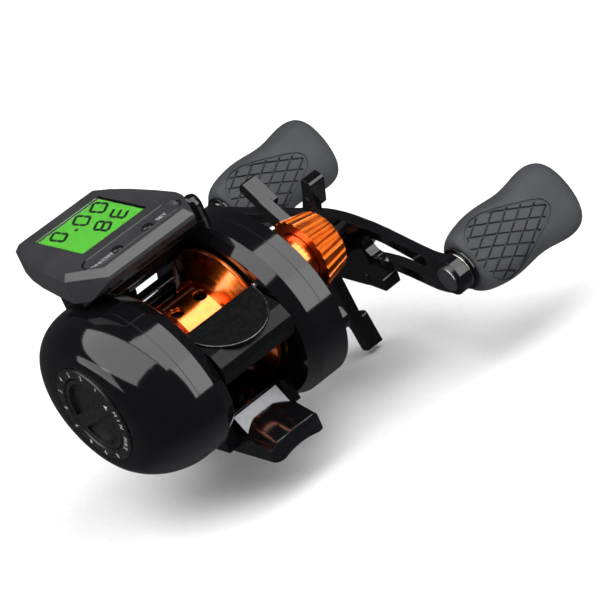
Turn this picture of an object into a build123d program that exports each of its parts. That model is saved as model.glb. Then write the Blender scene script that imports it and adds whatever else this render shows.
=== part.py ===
"""Digital baitcasting reel, right-hand wind, in millimetres.

+X runs along the spool axis towards the handle, +Y towards the rod tip, +Z up from the rod.
The origin is on the underside of the reel foot, straight below the spool axis.
Every place written as (forward, up) is measured from the spool axis.
"""
from build123d import *
from math import acos, atan2, cos, degrees, hypot, pi, radians, sin, sqrt, tan
import os

os.makedirs("parts", exist_ok=True)

# Whole reel
axis_height = 24.5
frame_width = 38.0
bay_width = 22.6
body_length = 57.8
body_height = 46.4
body_forward = 1.1
body_drop = 2.2
body_front = body_forward + body_length / 2
body_top = body_height / 2 - body_drop
overrun = 2.0
running = 0.05
clearance = 0.3
touch = 0.01
seat_gap = 0.02

# Shafts, measured from the spool axis
drive_forward = 11.6
drive_drop = 9.0
worm_inset = 8.0
worm_forward = body_front - worm_inset
worm_drop = 6.5
rod_inset = 3.5
rod_forward = body_front - rod_inset
rod_rise = 1.5

# Stations along the spool axis
left_seam = -frame_width / 2
right_seam = frame_width / 2
bay_left = -bay_width / 2
bay_right = bay_width / 2
spool_axis = (0, 0)
drive_axis = (drive_forward, -drive_drop)
worm_axis = (worm_forward, -worm_drop)
rod_axis = (rod_forward, rod_rise)
body_centre = (body_forward, -body_drop)
drive_distance = hypot(drive_forward, drive_drop)


def side_plane(x):
    """Plane square to the spool axis; its own axes are forward and up."""
    return Plane(origin=(x, 0, axis_height), x_dir=(0, 1, 0), z_dir=(1, 0, 0))


def place(x, at=spool_axis):
    """Point at station x, at a (forward, up) place."""
    return (x, at[0], axis_height + at[1])


def line_along_x(at=spool_axis):
    """Axis through a (forward, up) place, along the spool axis."""
    return Axis(place(0, at), (1, 0, 0))


def cylinder(start, end, radius, at=spool_axis, mode=Mode.ADD):
    """Round bar or bore along the spool axis."""
    with Locations(place(start, at)):
        Cylinder(radius, end - start, rotation=(0, 90, 0),
                 align=(Align.CENTER, Align.CENTER, Align.MIN), mode=mode)


def block(x_range, y_range, up_range, mode=Mode.ADD):
    """Square block between pairs of sides, its height measured from the spool axis."""
    with Locations((x_range[0], y_range[0], axis_height + up_range[0])):
        Box(x_range[1] - x_range[0], y_range[1] - y_range[0], up_range[1] - up_range[0],
            align=(Align.MIN, Align.MIN, Align.MIN), mode=mode)


def upright(at, bottom, top, radius, mode=Mode.ADD):
    """Upright round post or hole at an (x, y) place, its height measured from the spool axis."""
    with Locations((at[0], at[1], axis_height + bottom)):
        Cylinder(radius, top - bottom, align=(Align.CENTER, Align.CENTER, Align.MIN), mode=mode)


def turned_face(points, at=spool_axis):
    """Half section of a turned piece: its points are (station, radius)."""
    half_section = Plane(origin=place(0, at), x_dir=(1, 0, 0), z_dir=(0, -1, 0))
    with BuildSketch(half_section) as section:
        with BuildLine():
            Polyline(*points, close=True)
        make_face()
    return section.sketch


def body_oval(x, inset=0.0):
    """Side outline of the body at station x, drawn in by an inset."""
    with BuildSketch(side_plane(x)) as oval:
        with Locations(body_centre):
            Ellipse(body_length / 2 - inset, body_height / 2 - inset)
    return oval.sketch


def palm_oval(x, centre, half_length, half_height, low_height):
    """Side outline of the palm side at station x, with a shallower lower half."""
    with BuildSketch(side_plane(x)) as outline:
        with BuildLine():
            EllipticalCenterArc(centre, half_length, half_height, arc_size=180)
            EllipticalCenterArc(centre, half_length, low_height, 180, arc_size=180)
        make_face()
    return outline.sketch


def palm_side(x, inset=0.0):
    """Side outline of the palm side's ring at station x, drawn in by an inset."""
    return palm_oval(x, body_centre, body_length / 2 - inset, body_height / 2 - inset, palm_depth - inset)


def ring_points(count, radius, start_angle=0.0):
    """Evenly spaced (forward, up) places on a circle."""
    angles = [radians(start_angle + 360 * i / count) for i in range(count)]
    return [(radius * cos(a), radius * sin(a)) for a in angles]


def shifted(at, forward, up):
    """Place moved by a step forward and up."""
    return (at[0] + forward, at[1] + up)


def save(piece, name):
    """Label a finished piece and write its file."""
    piece.part.label = name
    export_step(piece.part, "parts/" + name + ".step")

# Frame: two side rings joined by a floor, a sill, a front bar and a hood over the line guide
ring_rim = 4.4
ring_slope = 1.8
palm_depth = 19.2
spool_radius = 17.8
spool_hole = 18.5
web_thickness = 2.8
frame_wall = 1.8
hood_thickness = 2.4
hood_rear = 8.2
hood_inset = 8.5
hood_front = body_front - hood_inset
hood_foot = 6.0
floor_rear = 12.5
floor_front = 15.5
floor_up = 19.5
foot_thickness = 2.2
foot_up = axis_height - foot_thickness
sill_rear = 13.6
sill_front = 9.0
sill_up = 15.4
foot_width = 15.2
front_bar_inset = 12.5
front_bar_forward = body_front - front_bar_inset
front_bar_drop = 15.2
front_bar_radius = 2.2
spool_room = 0.6
web_right = bay_right + web_thickness

# Cover screws pass through posts in the gear space
screw_shank = 1.1
screw_head = 2.0
screw_head_depth = 1.5
screw_post = 3.2
screw_places = [(-22.5, -6.5), (10.0, 14.2), (-7.0, -19.6)]
foot_screw_shank = 1.3
foot_screw_top = 20.0
foot_screw_places = [(0, -8.0), (0, 10.0)]

# Thumb bar tang, which slides in a slanted slot of the right ring
bar_travel = 3.5
travel_back_share = 0.54
travel_down_share = sqrt(1 - travel_back_share ** 2)
travel_angle = degrees(atan2(travel_down_share, travel_back_share))
tang_back = 19.6
tang_up = 5.0
tang_long = 2.6
tang_wide = 2.2

# Teeth of the drive pair, and the room that the larger gear needs inside the walls
drive_teeth = 52
pinion_teeth = 11
drive_module = 2 * drive_distance / (drive_teeth + pinion_teeth)
addendum_share = 0.75
drive_gear_start = 18.5
drive_gear_end = 21.5
drive_gear_tip = drive_module * (drive_teeth / 2 + addendum_share)

# Pinion, gears and shafts that the frame carries
pinion_journal = 2.5
ball_radius = 3.5
spool_shaft_radius = 1.25
drive_shaft_radius = 2.4
worm_journal = 1.2
rod_radius = 1.1
rod_seat = 2.0
post_back = 4.5
post_rise = 8.0
post_radius = 1.1

# Seat of the display case on the frame, and the rounded ear beside it
case_lift = 0.3
case_floor = body_top + case_lift
pedestal_left = -15.0
pedestal_right = 7.6
pedestal_rear = 9.5
pedestal_front = 24.0
pedestal_foot = 12.5
ear_radius = 2.7
ear_inset = 1.4
ear_forward = 7.1
ear_lift = 3.2
ear_up = body_top + ear_lift

with BuildPart() as frame:
    extrude(palm_side(left_seam), amount=ring_rim)
    loft([palm_side(left_seam + ring_rim), palm_side(bay_left, ring_slope)], ruled=True)
    extrude(body_oval(right_seam - ring_rim), amount=ring_rim)
    loft([body_oval(bay_right, ring_slope), body_oval(right_seam - ring_rim)], ruled=True)
    cylinder(left_seam - overrun, bay_left + overrun, spool_hole, mode=Mode.SUBTRACT)
    extrude(body_oval(web_right, frame_wall), amount=right_seam - web_right + overrun, mode=Mode.SUBTRACT)
    for spot in screw_places:
        cylinder(web_right - touch, right_seam, screw_post, spot)
    # hood along the top front of the oval
    with BuildSketch(side_plane(bay_left - touch)) as hood_section:
        with Locations(body_centre):
            Ellipse(body_length / 2 - ring_slope, body_height / 2 - ring_slope)
            Ellipse(body_length / 2 - ring_slope - hood_thickness,
                    body_height / 2 - ring_slope - hood_thickness, mode=Mode.SUBTRACT)
        with Locations((hood_rear, hood_foot)):
            Rectangle(hood_front - hood_rear, body_height, align=(Align.MIN, Align.MIN), mode=Mode.INTERSECT)
    extrude(amount=bay_width + 2 * touch)
    block((bay_left - touch, bay_right + touch), (-floor_rear, floor_front), (-foot_up, -floor_up))
    block((bay_left - touch, bay_right + touch), (-sill_rear, -sill_front), (-foot_up, -sill_up))
    block((-foot_width / 2 - clearance, foot_width / 2 + clearance),
          (-sill_rear - overrun, -floor_rear), (-foot_up - overrun, -sill_up + overrun), mode=Mode.SUBTRACT)
    cylinder(bay_left - ring_slope, bay_right + ring_slope, front_bar_radius,
             (front_bar_forward, -front_bar_drop))
    # pedestal under the display case
    with BuildSketch(side_plane(pedestal_left)) as pedestal_section:
        with Locations((pedestal_rear, pedestal_foot)):
            Rectangle(pedestal_front - pedestal_rear, case_floor - pedestal_foot,
                      align=(Align.MIN, Align.MIN))
        with Locations(body_centre):
            Ellipse(body_length / 2 - ring_slope - hood_thickness / 2,
                    body_height / 2 - ring_slope - hood_thickness / 2, mode=Mode.SUBTRACT)
    extrude(amount=pedestal_right - pedestal_left)
    # room for the spool between the rings
    cylinder(bay_left, bay_right, spool_radius + spool_room, mode=Mode.SUBTRACT)
    # round ear beside the display case, ending at the seam
    ear_x = right_seam - ear_inset
    upright((ear_x, ear_forward), ear_up - 2 * ear_radius, ear_up, ear_radius)
    with Locations(place(ear_x, (ear_forward, ear_up))):
        Sphere(ear_radius)
    extrude(body_oval(right_seam, -2 * ear_radius - ear_lift), amount=ear_radius + overrun,
            mode=Mode.SUBTRACT)
    extrude(body_oval(web_right, frame_wall), amount=right_seam - web_right + overrun, mode=Mode.SUBTRACT)
    for spot in screw_places:
        cylinder(web_right - touch, right_seam, screw_post, spot)
        cylinder(web_right, right_seam + overrun, screw_shank, spot, mode=Mode.SUBTRACT)
    # bores for the bearing, gear, shafts, posts and screws
    cylinder(drive_gear_start - clearance, right_seam + overrun, drive_gear_tip + clearance, drive_axis,
             mode=Mode.SUBTRACT)
    cylinder(bay_right - overrun, web_right + overrun, ball_radius + seat_gap, mode=Mode.SUBTRACT)
    cylinder(bay_right - overrun, web_right + overrun, drive_shaft_radius + running, drive_axis,
             mode=Mode.SUBTRACT)
    cylinder(left_seam - overrun, web_right + overrun, worm_journal + running, worm_axis, mode=Mode.SUBTRACT)
    cylinder(bay_left - rod_seat, bay_right + rod_seat, rod_radius + seat_gap, rod_axis, mode=Mode.SUBTRACT)
    for rise in (-post_rise, post_rise):
        cylinder(bay_right + web_thickness / 2, web_right + overrun, post_radius + seat_gap,
                 (-post_back, rise), mode=Mode.SUBTRACT)
    for spot in foot_screw_places:
        upright(spot, -axis_height, -foot_screw_top + seat_gap, foot_screw_shank + seat_gap,
                mode=Mode.SUBTRACT)
    with BuildSketch(side_plane(bay_right - overrun)) as tang_slot:
        with Locations((-tang_back - bar_travel * travel_back_share / 2,
                        tang_up - bar_travel * travel_down_share / 2)):
            Rectangle(tang_long + bar_travel + 2 * clearance, tang_wide + 2 * clearance,
                      rotation=travel_angle)
    extrude(amount=web_thickness + 2 * overrun, mode=Mode.SUBTRACT)
save(frame, "frame")

# Reel foot: hollow underneath to sit on a round seat, with a fairing behind the floor
foot_rear = 26.0
foot_front = 34.0
foot_corner = 2.0
foot_skirt = 0.8
seat_radius = 18.0
tail_end_drop = 20.3
tail_root_back = 16.5
tail_root_drop = 17.7
tab_crown_radius = 15.5
tab_crown_room = 3.0
fairing_front = 12.7
toe_root = 20.0
toe_end_drop = 23.3
fairing_width = 13.6
fairing_crest_back = 13.6
fairing_crest_drop = 15.4
fairing_base_back = 18.6
fairing_base_drop = 21.6
fairing_brow_drop = 16.2
foot_screw_head = 2.2
foot_screw_head_depth = 1.2


def above_crown(start, end):
    """Space above the crowned top of a tab, between two (forward, up) ends of its crest."""
    run = (0, end[0] - start[0], end[1] - start[1])
    with BuildSketch(Plane(origin=place(0, start), x_dir=(1, 0, 0), z_dir=run)) as space:
        Rectangle(foot_width + 2 * overrun, 2 * tab_crown_room)
        with Locations((0, tab_crown_radius)):
            Circle(tab_crown_radius, mode=Mode.SUBTRACT)
    return space.sketch


with BuildPart() as reel_foot:
    with BuildSketch(side_plane(-foot_width / 2)) as foot_profile:
        with BuildLine():
            Polyline((-foot_rear, -axis_height - foot_skirt), (foot_front, -axis_height - foot_skirt),
                     (foot_front, -toe_end_drop), (toe_root, -foot_up), (-fairing_front, -foot_up),
                     (-fairing_front, -tail_root_drop), (-tail_root_back, -tail_root_drop),
                     (-foot_rear, -tail_end_drop), close=True)
        make_face()
    extrude(amount=foot_width)
    with BuildSketch(Plane.XY.offset(-foot_skirt - overrun)) as foot_plan:
        with Locations((0, (foot_front - foot_rear) / 2)):
            RectangleRounded(foot_width, foot_front + foot_rear, foot_corner)
    extrude(amount=axis_height, mode=Mode.INTERSECT)
    tail_end = (-foot_rear, -tail_end_drop)
    extrude(above_crown(tail_end, (-tail_root_back, -tail_root_drop)), amount=foot_rear - fairing_front,
            mode=Mode.SUBTRACT)
    toe_end = (foot_front, -toe_end_drop)
    extrude(above_crown((toe_root, -foot_up), toe_end), amount=foot_front - toe_root + overrun,
            mode=Mode.SUBTRACT)
    with BuildSketch(side_plane(-fairing_width / 2)) as fairing_profile:
        with BuildLine():
            Polyline((-fairing_front, -foot_up), (-fairing_front, -fairing_brow_drop),
                     (-fairing_crest_back, -fairing_crest_drop), (-fairing_base_back, -fairing_base_drop),
                     (-fairing_base_back, -foot_up), close=True)
        make_face()
    extrude(amount=fairing_width)
    with Locations((0, -foot_rear - overrun, -seat_radius)):
        Cylinder(seat_radius, foot_rear + foot_front + 2 * overrun, rotation=(-90, 0, 0),
                 align=(Align.CENTER, Align.CENTER, Align.MIN), mode=Mode.SUBTRACT)
    for spot in foot_screw_places:
        upright(spot, -axis_height - overrun, -foot_up + overrun, foot_screw_shank + seat_gap,
                mode=Mode.SUBTRACT)
        upright(spot, -axis_height - overrun, -axis_height + foot_screw_head_depth,
                foot_screw_head + clearance, mode=Mode.SUBTRACT)
save(reel_foot, "reel_foot")

cross_slot_long = 2.2
cross_slot_wide = 0.6
cross_slot_deep = 0.6

with BuildPart() as foot_screws:
    for spot in foot_screw_places:
        upright(spot, -axis_height, -axis_height + foot_screw_head_depth, foot_screw_head)
        upright(spot, -axis_height, -foot_screw_top, foot_screw_shank)
        for long_x, long_y in ((cross_slot_long, cross_slot_wide), (cross_slot_wide, cross_slot_long)):
            with Locations((spot[0], spot[1], 0)):
                Box(long_x, long_y, 2 * cross_slot_deep, mode=Mode.SUBTRACT)
save(foot_screws, "foot_screws")

# Palm cover: a dome that closes the left ring and carries the brake and a spool bearing
palm_top = -31.4
palm_cavity_top = -28.4
palm_top_radius = 13.4
palm_wall = 1.6
palm_rim_depth = 2.0
spigot_wall = 1.6
dome_shares = (0.0, 0.3, 0.55, 0.75, 0.9, 0.97, 1.0)
dial_radius = 9.43
dial_face = -31.7
dial_floor = -30.0
stem_radius = 3.0
stem_end = -24.2
scale_radius = 12.4
scale_face = -32.0
scale_floor = -30.8
hub_radius = 5.2
hub_end = -12.2
bearing_left_start = -15.0
bearing_left_end = -12.5
bearing_left_radius = 4.0
shaft_relief_start = -16.4
shaft_relief_radius = 2.6


def dome_sections(top, inset):
    """Cross-sections of the dome, oval at the seam and round at its top."""
    sections = []
    for share in dome_shares:
        spread_share = sqrt(1 - share ** 2)
        halves = [palm_top_radius + (full - palm_top_radius) * spread_share - inset
                  for full in (body_length / 2, body_height / 2, palm_depth)]
        centre = (body_forward * spread_share, -body_drop * spread_share)
        sections.append(palm_oval(left_seam + (top - left_seam) * share, centre, *halves))
    return sections


with BuildPart() as palm_cover:
    loft(dome_sections(palm_top, 0))
    loft(dome_sections(palm_cavity_top, palm_wall), mode=Mode.SUBTRACT)
    extrude(palm_side(left_seam - palm_rim_depth, palm_wall / 2), amount=palm_rim_depth)
    cylinder(left_seam - touch, left_seam + palm_rim_depth, spool_hole - clearance)
    cylinder(left_seam - palm_rim_depth - touch, left_seam + palm_rim_depth + overrun,
             spool_hole - clearance - spigot_wall, mode=Mode.SUBTRACT)
    cylinder(palm_cavity_top - touch, hub_end, hub_radius)
    cylinder(palm_top - overrun, scale_floor, scale_radius + seat_gap, mode=Mode.SUBTRACT)
    cylinder(palm_top - overrun, dial_floor, dial_radius + running, mode=Mode.SUBTRACT)
    cylinder(palm_top - overrun, stem_end + clearance, stem_radius + running, mode=Mode.SUBTRACT)
    cylinder(shaft_relief_start, hub_end + overrun, shaft_relief_radius, mode=Mode.SUBTRACT)
    cylinder(bearing_left_start, hub_end + overrun, bearing_left_radius + seat_gap, mode=Mode.SUBTRACT)
save(palm_cover, "palm_cover")

with BuildPart() as brake_scale_ring:
    cylinder(scale_face, scale_floor, scale_radius)
    cylinder(scale_face - overrun, scale_floor + overrun, dial_radius + clearance, mode=Mode.SUBTRACT)
    chamfer(brake_scale_ring.edges().filter_by_position(Axis.X, scale_face - touch, scale_face + touch),
            length=clearance)
save(brake_scale_ring, "brake_scale_ring")

# Brake dial: two finger recesses leave a grip bar between them
grip_bar_width = 3.4
grip_bar_angle = 155.0
dial_rim_width = 1.1
finger_depth = 1.1

with BuildPart() as brake_dial:
    cylinder(dial_face, dial_floor, dial_radius)
    cylinder(dial_floor - touch, stem_end, stem_radius)
    with BuildSketch(side_plane(dial_face - overrun)) as finger_recesses:
        Circle(dial_radius - dial_rim_width)
        Rectangle(2 * dial_radius, grip_bar_width, rotation=grip_bar_angle, mode=Mode.SUBTRACT)
    extrude(amount=finger_depth + overrun, mode=Mode.SUBTRACT)
save(brake_dial, "brake_dial")

# Magnetic brake: a plate that slides on the hub of the palm cover
magnet_plate_left = -18.2
magnet_plate_right = -16.7
magnet_plate_radius = 15.0
magnet_radius = 1.6
magnet_height = 1.4
magnet_ring_radius = 8.4
magnet_count = 8

with BuildPart() as magnet_plate:
    cylinder(magnet_plate_left, magnet_plate_right, magnet_plate_radius)
    cylinder(magnet_plate_left - overrun, magnet_plate_right + overrun, hub_radius + running,
             mode=Mode.SUBTRACT)
save(magnet_plate, "magnet_plate")

with BuildPart() as brake_magnets:
    for spot in ring_points(magnet_count, magnet_ring_radius):
        cylinder(magnet_plate_right, magnet_plate_right + magnet_height, magnet_radius, spot)
save(brake_magnets, "brake_magnets")

# Ball bearings, each with shields set back between its races
race_share = 0.28
shield_depth = 0.25


def bearing_face(start, end, bore, outer, at=spool_axis):
    """Half section of a shielded ball bearing."""
    race = (outer - bore) * race_share
    return turned_face([(start, bore), (start, bore + race), (start + shield_depth, bore + race),
                        (start + shield_depth, outer - race), (start, outer - race), (start, outer),
                        (end, outer), (end, outer - race), (end - shield_depth, outer - race),
                        (end - shield_depth, bore + race), (end, bore + race), (end, bore)], at)


ball_start = 11.5
collar_bearing_start = 30.0
collar_bearing_end = 32.5
collar_bearing_radius = 5.0

with BuildPart() as spool_bearing_left:
    revolve(bearing_face(bearing_left_start, bearing_left_end, spool_shaft_radius + running,
                         bearing_left_radius), axis=line_along_x())
save(spool_bearing_left, "spool_bearing_left")

with BuildPart() as spool_bearing_right:
    revolve(bearing_face(collar_bearing_start, collar_bearing_end, spool_shaft_radius + running,
                         collar_bearing_radius), axis=line_along_x())
save(spool_bearing_right, "spool_bearing_right")

with BuildPart() as pinion_bearing:
    revolve(bearing_face(ball_start, web_right, pinion_journal + running, ball_radius), axis=line_along_x())
save(pinion_bearing, "pinion_bearing")

# Spool: thin arbor with round ports, cone-shaped flanges and a thin web on the shaft
flange_face = 10.7
rim_inner = 9.9
lip_radius = 17.3
arbor_half = 5.6
arbor_step_radius = 12.0
arbor_radius = 10.9
arbor_inner = 9.7
shell_back = 6.0
shell_rim_radius = 15.9
spool_web_half = 1.0
spool_hub_half = 3.0
spool_hub_radius = 3.0
port_radius = 1.7
port_station = 3.7
port_count = 8
port_start_angle = 22.5
spool_half_section = [(arbor_half, arbor_radius), (arbor_half, arbor_step_radius), (rim_inner, lip_radius),
                      (rim_inner, spool_radius), (flange_face, spool_radius),
                      (flange_face, shell_rim_radius), (shell_back, arbor_inner),
                      (spool_web_half, arbor_inner), (spool_web_half, spool_hub_radius),
                      (spool_hub_half, spool_hub_radius), (spool_hub_half, spool_shaft_radius + seat_gap)]
spool_other_half = [(-x, radius) for x, radius in reversed(spool_half_section)]

with BuildPart() as spool:
    revolve(turned_face(spool_half_section + spool_other_half), axis=line_along_x())
    for forward, up in ring_points(port_count, arbor_inner - overrun, port_start_angle):
        for station in (-port_station, port_station):
            outward = Plane(origin=place(station, (forward, up)), x_dir=(1, 0, 0), z_dir=(0, forward, up))
            with Locations(outward):
                Cylinder(port_radius, 2 * overrun, align=(Align.CENTER, Align.CENTER, Align.MIN),
                         mode=Mode.SUBTRACT)
save(spool, "spool")

inductor_end = -9.4
inductor_radius = 8.5
inductor_wall = 0.8

with BuildPart() as inductor_cup:
    revolve(turned_face([(-spool_web_half, spool_hub_radius + seat_gap), (-spool_web_half, inductor_radius),
                         (inductor_end, inductor_radius), (inductor_end, inductor_radius - inductor_wall),
                         (-spool_web_half - inductor_wall, inductor_radius - inductor_wall),
                         (-spool_web_half - inductor_wall, spool_hub_radius + seat_gap)]),
            axis=line_along_x())
save(inductor_cup, "inductor_cup")

# Spool shaft with the cross pin that the pinion takes hold of
shaft_left = -15.6
shaft_right = 38.9
cross_pin_station = 10.6
cross_pin_radius = 0.5
cross_pin_half = 2.4

with BuildPart() as spool_shaft:
    cylinder(shaft_left, shaft_right, spool_shaft_radius)
    with Locations(place(cross_pin_station)):
        Cylinder(cross_pin_radius, 2 * cross_pin_half)
save(spool_shaft, "spool_shaft")

# Involute teeth, shared by all four gears
pressure_angle = radians(25)
dedendum_share = 1.0
tooth_relief = 0.05
flank_steps = 4


def involute(angle):
    """Involute function of a pressure angle."""
    return tan(angle) - angle


def gear_outline(teeth, module, phase, at):
    """Points round a gear, with one tooth centred on the phase angle."""
    pitch_radius = module * teeth / 2
    base_radius = pitch_radius * cos(pressure_angle)
    tip_radius = pitch_radius + module * addendum_share
    root_radius = pitch_radius - module * dedendum_share
    half_tooth = (pi / 2 - tooth_relief / module) / teeth + involute(pressure_angle)
    first = max(root_radius, base_radius)
    radii = [first + (tip_radius - first) * i / flank_steps for i in range(flank_steps + 1)]
    flank = [(r, half_tooth - involute(acos(min(1, base_radius / r)))) for r in radii]
    if root_radius < base_radius:
        flank = [(root_radius, flank[0][1])] + flank
    points = []
    for tooth in range(teeth):
        middle = phase + 2 * pi * tooth / teeth
        rising = [(r, middle - angle) for r, angle in flank]
        falling = [(r, middle + angle) for r, angle in reversed(flank)]
        points += [(at[0] + r * cos(a), at[1] + r * sin(a)) for r, a in rising + falling]
    return points


def gear_face(x, teeth, module, phase, at, bore):
    """Toothed disc at station x, with its bore."""
    with BuildSketch(side_plane(x)) as disc:
        with BuildLine():
            Polyline(*gear_outline(teeth, module, phase, at), close=True)
        make_face()
        with Locations(at):
            Circle(bore, mode=Mode.SUBTRACT)
    return disc.sketch


# Drive pair: handle to spool
pinion_to_drive = atan2(-drive_drop, drive_forward)
pinion_start = 10.3
pinion_slot_depth = 0.9
pinion_slot_gap = 0.1
groove_start = 14.5
groove_end = 16.1
groove_radius = 2.0
pinion_collar_end = 16.8
pinion_collar_radius = 2.7
pinion_end = 23.4
lightening_count = 6
lightening_radius = 2.0
lightening_ring = 7.6

with BuildPart() as pinion_gear:
    bore = spool_shaft_radius + running
    revolve(turned_face([(pinion_start, bore), (pinion_start, pinion_journal),
                         (groove_start, pinion_journal), (groove_start, groove_radius),
                         (groove_end, groove_radius), (groove_end, pinion_collar_radius),
                         (pinion_collar_end, pinion_collar_radius), (pinion_collar_end, bore)]),
            axis=line_along_x())
    extrude(gear_face(pinion_collar_end - touch, pinion_teeth, drive_module, pinion_to_drive, spool_axis,
                      bore), amount=pinion_end - pinion_collar_end)
    slot_half = cross_pin_radius + pinion_slot_gap
    block((pinion_start - overrun, pinion_start + pinion_slot_depth), (-slot_half, slot_half),
          (-pinion_journal - overrun, pinion_journal + overrun), mode=Mode.SUBTRACT)
save(pinion_gear, "pinion_gear")

with BuildPart() as drive_gear:
    drive_phase = pinion_to_drive + pi + pi / drive_teeth
    extrude(gear_face(drive_gear_start, drive_teeth, drive_module, drive_phase, drive_axis,
                      drive_shaft_radius + seat_gap), amount=drive_gear_end - drive_gear_start)
    for forward, up in ring_points(lightening_count, lightening_ring):
        cylinder(drive_gear_start - overrun, drive_gear_end + overrun, lightening_radius,
                 shifted(drive_axis, forward, up), mode=Mode.SUBTRACT)
save(drive_gear, "drive_gear")

# Level wind pair: drive shaft to worm shaft
wind_teeth = 27
worm_teeth = 20
wind_module = 2 * hypot(worm_forward - drive_forward, drive_drop - worm_drop) / (wind_teeth + worm_teeth)
wind_to_worm = atan2(drive_drop - worm_drop, worm_forward - drive_forward)
wind_start = 15.0
wind_end = 17.4

with BuildPart() as level_wind_gear:
    extrude(gear_face(wind_start, wind_teeth, wind_module, wind_to_worm, drive_axis,
                      drive_shaft_radius + seat_gap), amount=wind_end - wind_start)
save(level_wind_gear, "level_wind_gear")

with BuildPart() as worm_gear:
    worm_phase = wind_to_worm + pi + pi / worm_teeth
    extrude(gear_face(wind_start, worm_teeth, wind_module, worm_phase, worm_axis, worm_journal + seat_gap),
            amount=wind_end - wind_start)
save(worm_gear, "worm_gear")

# Clutch yoke: a fork in the groove of the pinion, sliding on two posts
yoke_start = 14.6
yoke_end = 16.0
yoke_fork_radius = 4.4
yoke_eye_radius = 2.6
post_end = 22.0
post_cap_radius = 2.1
post_cap_end = 22.6
spring_start = 17.5
spring_mean_radius = 1.66
spring_wire = 0.25
wire_sides = 8
spring_pitch = 0.85

with BuildPart() as clutch_yoke:
    with BuildSketch(side_plane(yoke_start)) as yoke_plan:
        Circle(yoke_fork_radius)
        with Locations((-post_back, post_rise), (-post_back, -post_rise)):
            Circle(yoke_eye_radius)
        with Locations((-post_back, 0)):
            Rectangle(2 * yoke_eye_radius, 2 * post_rise)
        Circle(groove_radius + running, mode=Mode.SUBTRACT)
        with Locations((yoke_fork_radius / 2, 0)):
            Rectangle(yoke_fork_radius, 2 * (groove_radius + running), mode=Mode.SUBTRACT)
        with Locations((-post_back, post_rise), (-post_back, -post_rise)):
            Circle(post_radius + running, mode=Mode.SUBTRACT)
    extrude(amount=yoke_end - yoke_start)
save(clutch_yoke, "clutch_yoke")

with BuildPart() as yoke_posts:
    for rise in (-post_rise, post_rise):
        cylinder(bay_right + web_thickness / 2, post_end + touch, post_radius, (-post_back, rise))
        cylinder(post_end, post_cap_end, post_cap_radius, (-post_back, rise))
save(yoke_posts, "yoke_posts")

with BuildPart() as yoke_springs:
    for rise in (-post_rise, post_rise):
        spring_height = post_end - spring_start - 2 * spring_wire
        coil_start = place(spring_start + spring_wire, (-post_back, rise))
        with BuildLine() as coil:
            Helix(pitch=spring_pitch, height=spring_height, radius=spring_mean_radius,
                  center=coil_start, direction=(1, 0, 0))
        with BuildSketch(Plane(origin=coil.line @ 0, z_dir=coil.line % 0)) as wire_section:
            RegularPolygon(spring_wire, wire_sides)
        sweep(path=coil.line, is_frenet=True)
save(yoke_springs, "yoke_springs")

# Handle cover: closes the gear space and carries the one-way bearing and the threaded collar
cover_edge = 22.4
cover_face = 28.0
cover_face_centre = (4.5, -3.5)
cover_face_length = 38.0
cover_face_height = 31.0
cover_wall = 1.8
cover_brow = 1.2
post_face = 25.0
screw_face = 23.2
drag_room_end = 25.0
drag_room_radius = 10.3
boss_radius = 7.9
boss_face = 33.8
sleeve_radius = 3.4
one_way_radius = 6.4
one_way_start = 26.4
one_way_end = 33.0
collar_radius = 6.2
screw_tip = 15.2


def cover_flat(x, inset=0.0):
    """Oval flat at the outside of the handle cover, drawn in by an inset."""
    with BuildSketch(side_plane(x)) as flat:
        with Locations(cover_face_centre):
            Ellipse(cover_face_length / 2 - inset, cover_face_height / 2 - inset)
    return flat.sketch


with BuildPart() as handle_cover:
    extrude(body_oval(right_seam), amount=cover_edge - right_seam)
    loft([body_oval(cover_edge), cover_flat(cover_face)], ruled=True)
    cylinder(cover_edge, boss_face, boss_radius, drive_axis)
    chamfer(handle_cover.edges().filter_by_position(Axis.X, boss_face - touch, boss_face + touch),
            length=clearance)
    extrude(body_oval(right_seam, cover_wall), amount=cover_edge - cover_brow - right_seam,
            mode=Mode.SUBTRACT)
    loft([body_oval(cover_edge - cover_brow, cover_wall), cover_flat(cover_face - cover_wall, cover_wall)],
         ruled=True, mode=Mode.SUBTRACT)
    for spot in screw_places:
        cylinder(right_seam, post_face, screw_post, spot)
        cylinder(right_seam - overrun, cover_face + overrun, screw_shank + seat_gap, spot,
                 mode=Mode.SUBTRACT)
        cylinder(screw_face - screw_head_depth, cover_face + overrun, screw_head + clearance, spot,
                 mode=Mode.SUBTRACT)
    cylinder(right_seam - overrun, drag_room_end, drag_room_radius, drive_axis, mode=Mode.SUBTRACT)
    cylinder(right_seam - overrun, drive_gear_end + clearance, drive_gear_tip + clearance, drive_axis,
             mode=Mode.SUBTRACT)
    cylinder(cover_face - cover_wall - overrun, cover_face + overrun, collar_radius + running,
             mode=Mode.SUBTRACT)
    cylinder(cover_face - cover_wall - overrun, one_way_end, one_way_radius + seat_gap, drive_axis,
             mode=Mode.SUBTRACT)
    cylinder(one_way_end - overrun, boss_face + overrun, sleeve_radius + clearance, drive_axis,
             mode=Mode.SUBTRACT)
save(handle_cover, "handle_cover")

with BuildPart() as cover_screws:
    for spot in screw_places:
        cylinder(screw_tip, screw_face - screw_head_depth + touch, screw_shank - seat_gap, spot)
        cylinder(screw_face - screw_head_depth, screw_face, screw_head, spot)
        for long_y, long_z in ((cross_slot_long, cross_slot_wide), (cross_slot_wide, cross_slot_long)):
            with Locations(place(screw_face, spot)):
                Box(2 * cross_slot_deep, long_y, long_z, mode=Mode.SUBTRACT)
save(cover_screws, "cover_screws")

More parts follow.
